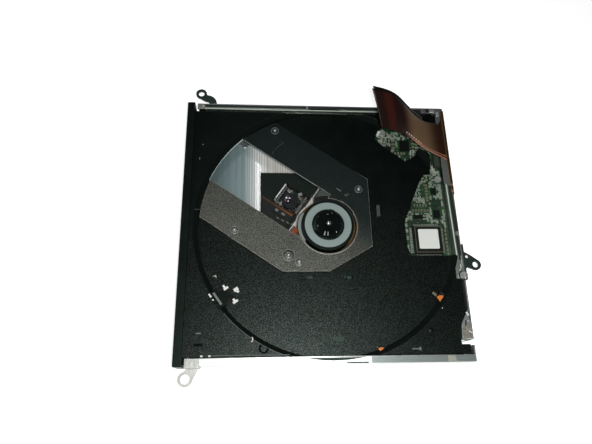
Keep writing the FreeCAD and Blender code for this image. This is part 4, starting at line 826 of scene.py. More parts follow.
def own_finishes() -> dict[str, object]:
    """Finishes of fine pieces and marks that the record has no slot for.

    Returns:
        Each finish by its name.
    """
    return {
        "pickup_film": PickupFilm(),
        "motor_film": Film((112, 44, 14), (150, 72, 26)),
        "print_white": Soft((204, 220, 196), (170, 188, 162), 0.6),
        # These mark finishes, and the silver and bronze ones below, colour real marks and parts and also
        # painted highlights and painted shade.
        "white_marks_and_painted_highlights": Soft((238, 238, 232), (220, 220, 214), 0.5),
        "mark_green": Soft((4, 40, 29), (9, 52, 38), 0.6),
        "mark_orange": Soft((206, 108, 26), (226, 136, 50), 0.5),
        "grey_marks_and_painted_highlights": Soft((96, 102, 98), (120, 126, 122), 0.5),
        "black_marks_and_painted_shade": Soft((3, 5, 4), (7, 9, 8), 0.8),
        "bronze_bevels_and_painted_highlights": Soft((96, 94, 78), (126, 124, 106), 0.45),
        # A lighter copy of the cover sheet's finish for the slot's end wall: painted light.
        "shield_wall_painted_light": Striped((150, 172, 174), (204, 222, 223)),
        "worn_zinc": Rolled((196, 194, 180), (160, 158, 142), 0.4, Grain.EVEN, 0.2, 0.001, 0.3, 0.4),
        # Colour of the painted highlight along the rear flange.
        "painted_highlight_pale": Rolled((214, 230, 214), (184, 202, 186), 0.4, Grain.EVEN, 0.1, 0.001, 0.15, 0.1),
        # Dark steel laid in strips as painted shade.
        "painted_shade_steel": Rolled((58, 66, 62), (36, 42, 40), 0.4, Grain.ALONG_X, 0.3, 0.001, 0.4, 0.3),
        # Colour of painted highlight lines along edges.
        "painted_highlight_bright": Soft((196, 214, 192), (214, 230, 210), 0.4),
        "silver_trim_and_painted_highlights": Rolled((158, 168, 165), (126, 136, 134), 0.36, Grain.ALONG_X, 0.2, 0.001, 0.5),
        # Copper also colours the painted highlight along the plate's cut-out.
        "copper": Rolled((206, 138, 84), (150, 92, 50), 0.3, Grain.EVEN),
    }


@dataclass
class Shape:
    """Points in millimetres and the faces that join them."""

    points: np.ndarray
    faces: list[np.ndarray]


def merged(shapes: list[Shape]) -> Shape:
    """Several shapes as one: their points in a row, with each shape's point numbers moved up.

    Args:
        shapes: the shapes.

    Returns:
        The joined shape.
    """
    starts = np.cumsum([0] + [len(shape.points) for shape in shapes])
    faces = [face + start for shape, start in zip(shapes, starts) for face in shape.faces]
    return Shape(np.concatenate([shape.points for shape in shapes]), faces)


def grid_faces(rows: int, columns: int, loop_rows: bool = False, loop_columns: bool = False) -> np.ndarray:
    """Quads of a grid: each joins a point to its next neighbours along both ways.

    Args:
        rows: number of rows of points.
        columns: number of points in a row.
        loop_rows: join the last row to the first.
        loop_columns: join the last column to the first.

    Returns:
        Four point numbers for each face.
    """
    row = np.arange(rows if loop_rows else rows - 1)[:, None]
    column = np.arange(columns if loop_columns else columns - 1)[None, :]
    below = ((row + 1) % rows) * columns
    after = (column + 1) % columns
    quad = np.broadcast_arrays(row * columns + column, row * columns + after, below + after, below + column)
    return np.stack(quad, -1).reshape(-1, 4)


def swept(rings: np.ndarray, looped: bool = False) -> Shape:
    """Skin over a row of closed rings of points.

    Args:
        rings: array of rings, points in a ring and coordinates.
        looped: join the last ring to the first; otherwise both ends get a flat face.

    Returns:
        The closed shape.
    """
    count, sides = rings.shape[:2]
    faces = [grid_faces(count, sides, looped, True)]
    if not looped:
        last = (count - 1) * sides
        faces += [np.arange(sides)[None, ::-1], (last + np.arange(sides))[None, :]]
    return Shape(rings.reshape(-1, 3), faces)


def around(sides: int) -> np.ndarray:
    """Angles of evenly spaced points round a full turn."""
    return np.linspace(0.0, TURN, sides, endpoint=False)


def turned(profile: np.ndarray, sides: int) -> Shape:
    """Ring round the spindle's axis: a closed profile of radius and height, carried round it.

    Args:
        profile: rows of radius and height.
        sides: points round the axis.

    Returns:
        The closed ring.
    """
    angle = around(sides)
    level = profile[:, :1]
    height = profile[:, 1:] + 0.0 * angle
    return swept(np.stack([level * np.cos(angle), level * np.sin(angle), height], -1), True)


def arc(radius: Number, start: float, end: float, count: int, height: float,
        centre: Pair = (0.0, 0.0)) -> np.ndarray:
    """Points on a level arc: the centre plus the radius at evenly spaced angles.

    Args:
        radius: one radius, or one for each point.
        start: first angle in degrees.
        end: last angle in degrees.
        count: number of points.
        height: height of the arc.
        centre: x and y of its centre.

    Returns:
        The points.
    """
    angle = np.radians(np.linspace(start, end, count))
    return np.column_stack([centre[0] + radius * np.cos(angle), centre[1] + radius * np.sin(angle),
                            np.full(count, height)])


def curved_bar(section: list[tuple[Number, float]], start: float, end: float, count: int) -> Shape:
    """Bar bent round the spindle's axis: a section carried along an arc.

    Args:
        section: radius and height of each corner.
        start: first angle in degrees.
        end: last angle in degrees.
        count: number of rings.

    Returns:
        The closed bar.
    """
    return swept(np.stack([arc(radius, start, end, count, height) for radius, height in section], 1))


def tube(path: np.ndarray, radius: float, sides: int = 8) -> Shape:
    """Round bar along a path: each ring is the path's point plus a circle square to its direction.

    Args:
        path: points of the middle line.
        radius: radius of the bar.
        sides: points round the bar.

    Returns:
        The closed bar.
    """
    along = np.gradient(path, axis=0)
    along /= np.linalg.norm(along, axis=1)[:, None]
    up = np.where(np.abs(along[:, 2:3]) > 0.95, [[1.0, 0.0, 0.0]], [[0.0, 0.0, 1.0]])
    side = np.cross(along, up)
    side /= np.linalg.norm(side, axis=1)[:, None]
    other = np.cross(side, along)
    angle = around(sides)[None, :, None]
    return swept(path[:, None] + radius * (side[:, None] * np.cos(angle) + other[:, None] * np.sin(angle)))


def repeated(points: np.ndarray, places: np.ndarray, quads: np.ndarray, caps: np.ndarray) -> Shape:
    """One small shape at many places: its point numbers move up by its size for each place.

    Args:
        points: each copy's points round its own foot.
        places: middle of each copy's foot.
        quads: four-sided faces of one copy.
        caps: end faces of one copy.

    Returns:
        All copies as one shape.
    """
    start = points.shape[1] * np.arange(len(places))[:, None, None]
    faces = [(quads[None] + start).reshape(-1, 4), (caps[None] + start).reshape(-1, caps.shape[1])]
    return Shape((points + places[:, None]).reshape(-1, 3), faces)


def blocks(places: np.ndarray, sizes: np.ndarray, turns: Number, chamfer: float = 0.06) -> Shape:
    """Many small blocks with bevelled tops, each of three square rings: foot, below the bevel and top.

    Args:
        places: middle of each block's foot.
        sizes: length, width and height of each block, or one for all.
        turns: turn of each block in degrees.
        chamfer: width of the bevel.

    Returns:
        All blocks as one shape.
    """
    sizes = np.broadcast_to(np.asarray(sizes, float), places.shape)[:, :, None, None]
    angle = np.broadcast_to(np.radians(turns), places.shape[:1])[:, None, None]
    corner = np.array([[-1, -1], [1, -1], [1, 1], [-1, 1]], float)
    inset = np.array([0.0, 0.0, chamfer])[None, :, None]
    drop = np.array([0.0, chamfer, 0.0])[None, :, None]
    level = np.array([0.0, 1.0, 1.0])[None, :, None]
    x = (sizes[:, 0] / 2.0 - inset) * corner[:, 0]
    y = (sizes[:, 1] / 2.0 - inset) * corner[:, 1]
    z = np.broadcast_to(sizes[:, 2] * level - drop, x.shape)
    points = np.stack([x * np.cos(angle) - y * np.sin(angle), x * np.sin(angle) + y * np.cos(angle), z], -1)
    caps = np.array([[3, 2, 1, 0], [8, 9, 10, 11]])
    return repeated(points.reshape(len(places), -1, 3), places, grid_faces(3, 4, False, True), caps)


def studs(places: np.ndarray, radius: float | Row | list[float], height: float, sides: int) -> Shape:
    """Many small domed studs: rings that draw in as they rise.

    Args:
        places: middle of each stud's foot.
        radius: one radius, or one for each stud.
        height: height of the studs.
        sides: points round a stud.

    Returns:
        All studs as one shape.
    """
    share = np.array([1.0, 0.9, 0.62, 0.2])
    rise = np.array([0.0, 0.55, 0.9, 1.0]) * height
    reach = np.broadcast_to(np.asarray(radius, float), len(places))[:, None, None] * share[None, :, None]
    angle = around(sides)
    x = reach * np.cos(angle)
    points = np.stack([x, reach * np.sin(angle), np.broadcast_to(rise[None, :, None], x.shape)], -1)
    caps = np.stack([np.arange(sides)[::-1], 3 * sides + np.arange(sides)])
    return repeated(points.reshape(len(places), -1, 3), places, grid_faces(4, sides, False, True), caps)


def smooth_curve(knots: np.ndarray, count: int) -> np.ndarray:
    """Points on the natural cubic curve through knots, spaced by chord length.

    Args:
        knots: rows of coordinates.
        count: number of points.

    Returns:
        The curve's points.
    """
    steps = np.linalg.norm(np.diff(knots, axis=0), axis=1)
    at = np.concatenate([[0.0], np.cumsum(steps)])
    size = len(knots)
    system = np.eye(size)
    inner = np.arange(1, size - 1)
    system[inner, inner - 1] = steps[:-1]
    system[inner, inner] = 2.0 * (steps[:-1] + steps[1:])
    system[inner, inner + 1] = steps[1:]
    slope = np.diff(knots, axis=0) / steps[:, None]
    right = np.zeros_like(knots)
    right[1:-1] = 6.0 * np.diff(slope, axis=0)
    curve = np.linalg.solve(system, right)
    where = np.linspace(0.0, at[-1], count)
    span = np.clip(np.searchsorted(at, where, side="right") - 1, 0, size - 2)
    length = steps[span][:, None]
    before = ((at[span + 1] - where) / steps[span])[:, None]
    after = 1.0 - before
    bend = (before ** 3 - before) * curve[span] + (after ** 3 - after) * curve[span + 1]
    return before * knots[span] + after * knots[span + 1] + bend * length ** 2 / 6.0


def path_place(u: Number, v: Number, z: Number) -> np.ndarray:
    """Point at u along the pickup's path and v across it."""
    u, v, z = np.broadcast_arrays(np.asarray(u, float), np.asarray(v, float), np.asarray(z, float))
    return np.stack([u * SLOT_X - v * SLOT_Y, u * SLOT_Y + v * SLOT_X, z], -1)


def in_scene(name: str, data: bpy.types.ID) -> bpy.types.Object:
    """Object in the scene, at the origin.

    Args:
        name: the object's name.
        data: its mesh, lamp or camera.

    Returns:
        The object.
    """
    made = bpy.data.objects.new(name, data)
    bpy.context.scene.collection.objects.link(made)
    return made


def thickened(made: bpy.types.Object, thickness: float, offset: float) -> None:
    """Give a sheet its wall.

    Args:
        made: the sheet.
        thickness: thickness in millimetres.
        offset: 1 for a wall above the sheet, 0 for one on both sides.
    """
    wall = made.modifiers.new("thickness", "SOLIDIFY")
    wall.thickness = thickness * MM
    wall.offset = offset


class Bench:
    """Keeps the finishes, dresses the CAD nodes and turns shapes into pieces."""

    def __init__(self, frame: dict) -> None:
        """Make every finish and dress the CAD nodes in them.

        Args:
            frame: the loaded frame.
        """
        finishes = {**slot_finishes(), **own_finishes()}
        films = {"pickup_flex": "pickup_film", "motor_flex": "motor_film"}
        self.materials = {name: finish.make(name) for name, finish in finishes.items()}
        for name, node in frame["nodes"].items():
            for holder in node.material_slots:
                slot = holder.material.name.split(".")[0]
                holder.material = self.materials[films.get(name, slot)]
            LOG.info("dressed %s", name)

    def piece(self, name: str, shape: Shape, body: str | None, finish: str, slot: str | None = None,
              uv: np.ndarray | None = None, replaces: str | None = None,
              solid: bool = True) -> bpy.types.Object:
        """Make a mesh piece that rides on a body.

        Args:
            name: the piece's name.
            shape: its points and faces.
            body: the body that carries it.
            finish: the finish's name.
            slot: the record's slot, if not the finish's name; not used.
            uv: the UV place of each point.
            replaces: the node that it stands for.
            solid: turn the faces outwards.

        Returns:
            The piece's object.
        """
        mesh = bpy.data.meshes.new(name)
        loops = np.concatenate([face.reshape(-1) for face in shape.faces]).astype(np.int32)
        totals = np.concatenate([np.full(len(face), face.shape[1]) for face in shape.faces])
        starts = np.concatenate([[0], np.cumsum(totals)[:-1]]).astype(np.int32)
        mesh.vertices.add(len(shape.points))
        mesh.vertices.foreach_set("co", (shape.points * MM).astype(np.float32).reshape(-1))
        mesh.loops.add(len(loops))
        mesh.loops.foreach_set("vertex_index", loops)
        mesh.polygons.add(len(totals))
        mesh.polygons.foreach_set("loop_start", starts)
        mesh.update(calc_edges=True)
        mesh.validate()
        if uv is not None:
            layer = mesh.uv_layers.new(name="UVMap")
            layer.data.foreach_set("uv", uv[loops].astype(np.float32).reshape(-1))
        if solid:
            work = bmesh.new()
            work.from_mesh(mesh)
            bmesh.ops.recalc_face_normals(work, faces=work.faces)
            work.to_mesh(mesh)
            work.free()
        mesh.shade_smooth()
        mesh.set_sharp_from_angle(angle=SMOOTH_ANGLE)
        mesh.materials.append(self.materials[finish])
        made = in_scene(name, mesh)
        if body:
            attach(made, body)
        if replaces:
            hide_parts(replaces)
        LOG.info("made %s with %d faces", name, len(totals))
        return made


@dataclass
class Details:
    """Small pieces that ride on one body."""

    bench: Bench
    body: str = "tray"

    def put(self, name: str, shape: Shape, finish: str, slot: str | None = None) -> None:
        """Make a piece on the body in the named finish."""
        self.bench.piece(name, shape, self.body, finish, slot)

    def bits(self, name: str, finish: str, slot: str, places: list[Row], chamfer: float = 0.05) -> None:
        """Small flat blocks as one piece.

        Args:
            name: the piece's name.
            finish: the finish's name.
            slot: the record's slot.
            places: x, y, foot, length, width, height and turn of each block.
            chamfer: width of the bevel.
        """
        table = np.array(places)
        self.put(name, blocks(table[:, :3], table[:, 3:6], table[:, 6], chamfer), finish, slot)

    def line(self, name: str, finish: str, slot: str, path: np.ndarray, radius: float) -> None:
        """Thin round line along a path."""
        self.put(name, tube(path, radius), finish, slot)


@dataclass
class HostRibbon:
    """Formed ribbon over the rear wall, with a leg that lifts away, and its dark backing sheet."""

    bench: Bench
    top: float = 12.15
    thickness: float = 0.3
    backing: float = 0.2
    columns: int = 25
    wall_sides: Pair = (15.6, 62.4)
    tail_sides: Pair = (34.9, 58.1)
    far: tuple[Triple, ...] = (
        (59.4, 54.4, 0.0), (50.0, 55.4, 1.9), (42.2, 58.6, 6.7), (33.7, 62.4, 12.7), (21.7, 63.7, 16.7))
    near: tuple[Triple, ...] = (
        (59.4, 34.8, 0.0), (50.0, 40.0, 0.6), (42.0, 46.0, 1.7), (34.0, 48.4, 3.7), (27.8, 48.5, 5.7))
    far_lap: tuple[Triple, ...] = ((61.6, 62.4, 0.0), (61.2, 61.6, 0.0), (60.8, 57.0, 0.0))
    near_lap: tuple[Triple, ...] = ((61.6, 15.6, 0.0), (61.3, 33.0, 0.0), (60.5, 34.0, 0.0))
    wall: tuple[Pair, ...] = ((60.3, 4.2), (62.3, 4.2), (62.75, 4.4), (62.9, 4.9), (62.9, 8.0))
    tail_height: float = 5.0
    corner: float = 0.6

    def sheet(self, name: str, near: np.ndarray, far: np.ndarray, thickness: float, finish: str,
              replaces: str, crown: float) -> None:
        """Sheet ruled between two edges, with a slight crown across it.

        Args:
            name: the piece's name.
            near: points of the near edge.
            far: points of the far edge, as many.
            thickness: thickness upwards.
            finish: the finish's name.
            replaces: the node that it stands for.
            crown: height of the crown on the raised leg.
        """
        across = np.linspace(0.0, 1.0, self.columns)[None, :, None]
        rows = near[:, None] * (1.0 - across) + far[:, None] * across
        lift = np.clip((near[:, 2] - self.top) / 4.0, 0.0, 1.0)
        rows[:, :, 2] += crown * lift[:, None] * np.sin(np.pi * across[:, :, 0])
        steps = np.linalg.norm(np.diff((near + far) / 2.0, axis=0), axis=1)
        length = np.concatenate([[0.0], np.cumsum(steps)])
        uv = np.stack(np.broadcast_arrays((length / length[-1])[:, None], across[:, :, 0]), -1)
        shape = Shape(rows.reshape(-1, 3), [grid_faces(len(near), self.columns)])
        made = self.bench.piece(name, shape, "case", finish, None, uv.reshape(-1, 2), replaces, False)
        thickened(made, thickness, 1.0)

    def edge(self, side: int, lap: tuple[Triple, ...], leg: tuple[Triple, ...]) -> np.ndarray:
        """Long edge of the ribbon: up the wall, round its corner, along the lap and up the leg.

        Args:
            side: 0 for the near edge and 1 for the far one.
            lap: points over the flange, with heights from the top.
            leg: knots of the raised leg, with heights from the top.

        Returns:
            The edge's points.
        """
        bend = np.radians(np.linspace(0.0, 90.0, 6))
        middle = np.array([self.wall[1][0], self.top - self.corner])
        rounding = middle + self.corner * np.stack([np.cos(bend), np.sin(bend)], -1)
        side_view = np.concatenate([self.wall, rounding])
        y = np.where(side_view[:, 1] < self.tail_height, self.tail_sides[side], self.wall_sides[side])
        rise = np.array([0.0, 0.0, self.top])
        return np.concatenate([np.column_stack([side_view[:, 0], y, side_view[:, 1]]), np.array(lap) + rise,
                               smooth_curve(np.array(leg) + rise, 46)])

    def make(self) -> None:
        """Build the ribbon and its backing."""
        near = self.edge(0, self.near_lap, self.near)
        far = self.edge(1, self.far_lap, self.far)
        self.sheet("host_ribbon_film", near, far, self.thickness, "ribbon_brown", "host_ribbon", 0.5)
        drop = self.top - self.thickness
        near = smooth_curve(np.array(self.near[1:]) + [0.0, 0.8, drop], 40)
        far = smooth_curve(np.array(self.far[1:]) + [0.6, 1.7, drop], 40)
        self.sheet("ribbon_backing_film", near, far, self.backing, "ribbon_dark", "ribbon_backing", 0.3)


@dataclass
class MainBoard(Details):
    """Small parts, pads and printed outlines on the circuit board."""

    body: str = "case"
    top: float = 2.4
    pitch: float = 0.94
    jitter: float = 0.12
    room: float = 0.45
    x_range: Pair = (30.0, 60.6)
    y_range: Pair = (-15.0, 55.5)
    kinds: Row = (0.26, 0.46, 0.66, 0.82)
    part_size: Triple = (0.44, 0.36, 0.3)
    part_end: Triple = (0.22, 0.42, 0.24)
    pad_size: Triple = (0.62, 0.28, 0.05)
    print_size: Triple = (0.86, 0.19, 0.02)
    taken: tuple[Row, ...] = (
        (41.0, 58.8, -14.4, 3.4), (54.4, 58.0, 5.9, 10.5), (54.5, 57.5, 18.9, 22.3),
        (44.1, 49.1, 5.4, 7.8), (40.7, 46.1, 43.4, 49.8), (33.2, 36.0, 42.7, 46.1),
        (33.3, 38.7, -9.2, -2.8), (30.8, 37.2, 11.3, 20.7), (57.0, 61.4, 33.0, 59.5),
        (43.6, 53.0, 9.0, 13.8), (51.6, 53.4, 15.0, 25.0), (58.9, 61.0, -13.2, 0.5),
        (37.0, 42.6, 41.0, 43.2), (36.4, 38.4, 44.8, 50.2), (47.0, 49.2, 45.4, 52.8),
        (40.9, 51.0, 3.8, 5.1), (41.6, 47.2, 39.9, 41.4), (54.2, 58.0, 11.7, 16.4),
        (58.0, 59.4, 8.4, 16.4), (49.6, 51.0, 18.0, 24.2), (30.5, 33.6, 52.4, 55.6),
        (57.7, 60.8, 25.8, 29.0))

    def free(self, x: np.ndarray, y: np.ndarray) -> np.ndarray:
        """Places that no larger part takes.

        Args:
            x: places along X.
            y: places along Y.

        Returns:
            True where the place is free.
        """
        left, right, near, far = np.array(self.taken).T
        hit = (x[:, None] > left - self.room) & (x[:, None] < right + self.room)
        hit &= (y[:, None] > near - self.room) & (y[:, None] < far + self.room)
        return ~hit.any(axis=1)

    def make(self) -> None:
        """Build the small parts in rows on a jittered grid. A random share gives each place its kind."""
        rng = np.random.default_rng(7)
        columns = np.arange(*self.x_range, self.pitch)
        rows = np.arange(*self.y_range, self.pitch)
        x, y = (part.ravel() for part in np.meshgrid(columns, rows))
        x = x + rng.uniform(-self.jitter, self.jitter, x.shape)
        y = y + rng.uniform(-self.jitter, self.jitter, y.shape)
        open_here = self.free(x, y)
        x, y = x[open_here], y[open_here]
        kind = np.searchsorted(self.kinds, rng.uniform(0.0, 1.0, x.shape), side="right")
        turn = np.where(rng.uniform(0.0, 1.0, x.shape) < 0.7, 0.0, 90.0)
        place = np.stack([x, y, np.full(x.shape, self.top)], -1)
        body = np.array(self.part_size)
        resistor, capacitor, dot, pad = (kind == number for number in range(4))
        part = resistor | capacitor
        outlined = part | pad
        angle = np.radians(turn)
        along = np.stack([np.cos(angle), np.sin(angle), np.zeros(x.shape)], -1) * 0.32
        side = np.stack([-np.sin(angle), np.cos(angle), np.zeros(x.shape)], -1) * 0.36
        ends = np.concatenate([(place + along)[part], (place - along)[part]])
        prints = np.concatenate([(place + side)[outlined], (place - side)[outlined]])
        self.put("small_part_bodies", blocks(place[resistor], body, turn[resistor]), "resistor")
        self.put("small_part_capacitors", blocks(place[capacitor], body * 1.1, turn[capacitor]), "ceramic")
        self.put("small_part_ends", blocks(ends, self.part_end, np.tile(turn[part], 2), 0.04), "lead_tin")
        self.put("test_points", studs(place[dot], 0.24, 0.06, 8), "lead_tin")
        self.put("bare_pads", blocks(place[pad], self.pad_size, turn[pad], 0.02), "lead_tin")
        self.put("printed_outlines", blocks(prints, self.print_size, np.tile(turn[outlined], 2), 0.005),
                 "print_white", "label_white")


@dataclass
class Spring:
    """Wound spring on the tray, of round wire."""

    bench: Bench
    name: str
    start: Triple
    end: Triple
    radius: float
    wire: float
    turns: float

    def make(self) -> None:
        """Build the spring: a circle square to the axis, carried along it as it turns."""
        share = np.linspace(0.0, 1.0, int(self.turns * 20))
        start = np.array(self.start)
        axis = np.array(self.end) - start
        unit = axis / np.linalg.norm(axis)
        side = np.cross(unit, [0.0, 0.6, 0.8])
        side /= np.linalg.norm(side)
        other = np.cross(unit, side)
        angle = share * self.turns * TURN
        wave = np.cos(angle)[:, None] * side + np.sin(angle)[:, None] * other
        path = start + share[:, None] * axis + self.radius * wave
        self.bench.piece(self.name + "_coil", tube(path, self.wire, 7), "tray", "shaft_steel",
                         replaces=self.name)


@dataclass
class LeadScrew:
    """Threaded lead screw beside the pickup's path, on its thin journals."""

    bench: Bench
    side: float = 22.6
    height: float = 4.2
    start: float = 17.3
    end: float = 61.6
    outer: float = 1.2
    groove: float = 0.32
    lead: float = 3.0
    starts: float = 2.0
    journal: Triple = (15.0, 40.0, 63.6)
    journal_radius: float = 0.6

    def make(self) -> None:
        """Build the rod, whose radius rises and falls with both its length and the turn round it."""
        along = np.linspace(self.start, self.end, 560)[:, None]
        angle = around(20)[None, :]
        wave = 0.5 + 0.5 * np.cos(self.starts * (along * TURN / self.lead - angle))
        radius = self.outer - self.groove * wave ** 3
        rings = path_place(along, self.side + radius * np.cos(angle), self.height + radius * np.sin(angle))
        journal = tube(path_place(np.array(self.journal), self.side, self.height), self.journal_radius, 14)
        self.bench.piece("lead_screw_thread", merged([swept(rings), journal]), "lead_screw", "shaft_steel",
                         replaces="lead_screw")


@dataclass
class FoldedFlex:
    """Flexible circuit folded under the tray; the real one rolls as the tray moves, but this sheet is fixed
    and rides on no body.
    """

    bench: Bench
    low: float = 2.65
    high: float = 7.05
    fixed_end: float = 54.6
    moving_end: float = 44.8
    run_end: float = -18.0
    fold: float = -20.0
    near: float = -39.9
    far: float = -27.6
    columns: int = 9
    thickness: float = 0.12

    def make(self) -> None:
        """Build the sheet: its side view is two level runs joined by a half circle."""
        reach = (self.high - self.low) / 2.0
        bend = np.radians(np.linspace(-90.0, -270.0, 24))
        half = np.stack([self.fold + reach * np.cos(bend), self.low + reach + reach * np.sin(bend)], -1)
        lower = np.linspace((self.fixed_end, self.low), (self.run_end, self.low), 60)
        upper = np.linspace((self.run_end, self.high), (self.moving_end, self.high), 50)
        side_view = np.concatenate([lower, half, upper])
        y = np.linspace(self.near, self.far, self.columns)
        rows = np.stack(np.broadcast_arrays(side_view[:, :1], y, side_view[:, 1:]), -1)
        shape = Shape(rows.reshape(-1, 3), [grid_faces(len(side_view), self.columns)])
        made = self.bench.piece("tray_flex_film", shape, None, "flex_orange", solid=False)
        thickened(made, self.thickness, 0.0)
        bpy.context.view_layer.update()
        ready = bpy.data.meshes.new_from_object(made.evaluated_get(bpy.context.evaluated_depsgraph_get()))
        made.modifiers.clear()
        made.data = ready
        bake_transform(made)
        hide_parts("tray_flex")


@dataclass
class SpindleHub(Details):
    """Claw tips, centre ring and slits on the hub."""

    body: str = "spindle"
    top: float = 11.8
    tip_angles: Row = (70.0, -50.0, 193.0, 144.0, -2.5, -109.0)
    tip_reaches: Row = (5.4, 5.4, 5.4, 6.0, 6.0, 6.0)
    tip_radii: Row = (0.34, 0.34, 0.34, 0.2, 0.2, 0.2)

    def make(self) -> None:
        """Build the hub's small details."""
        angle = np.radians(self.tip_angles)
        reach = np.array(self.tip_reaches)
        top = self.top
        tips = np.column_stack([reach * np.cos(angle), reach * np.sin(angle), np.full(len(angle), top)])
        self.put("claw_tips", studs(tips, self.tip_radii, 0.12, 12), "yoke")
        profile = np.array([[0.72, top - 0.02], [1.0, top - 0.02], [1.0, top + 0.06], [0.72, top + 0.06]])
        self.put("hub_centre_ring", turned(profile, 32), "grey_marks_and_painted_highlights", "yoke")
        self.bits("hub_slits", "white_marks_and_painted_highlights", "yoke", [
            (-2.1, -5.0, top + 0.02, 0.24, 1.9, 0.06, -18.0),
            (-0.6, -5.2, top + 0.02, 0.24, 1.8, 0.06, -6.0),
            (-0.4, 4.6, top + 0.02, 0.5, 0.14, 0.06, 20.0)], 0.02)


@dataclass
class MotorSurround(Details):
    """Painted highlights round the spindle motor, a bright crescent and lit edges, and gold contacts."""

    inner: float = 12.85
    outer: float = 14.3
    taper: float = 0.8
    low: float = 7.55
    high: float = 7.75
    plate: float = 8.8

    def make(self) -> None:
        """Build the details. The crescent's outer radius falls off towards both ends."""
        outer = self.outer - self.taper * np.abs(np.linspace(-1.0, 1.0, 60)) ** 4
        section = [(self.inner, self.low), (outer, self.low), (outer, self.high), (self.inner, self.high)]
        plate = self.plate
        # The crescent, and the glint and line along the plate's cut-out, are painted highlights.
        self.put("motor_crescent_highlight", curved_bar(section, 150.0, 214.0, 60), "silver_trim_and_painted_highlights", "motor_can")
        glint = arc(13.95, -150.0, 25.0, 90, plate - 0.25)
        rim = arc(14.06, -152.0, -62.0, 60, plate)
        self.line("cut_out_glint", "copper", "plate_nickel", glint, 0.13)
        self.line("cut_out_highlight", "white_marks_and_painted_highlights", "plate_nickel", rim, 0.15)
        self.bits("motor_contacts", "bronze_bevels_and_painted_highlights", "flex_orange", [
            (-13.6, -5.9, plate + 0.05, 1.5, 0.6, 0.3, -40.0),
            (-12.6, -7.2, plate + 0.05, 0.9, 0.5, 0.3, -40.0)], 0.06)


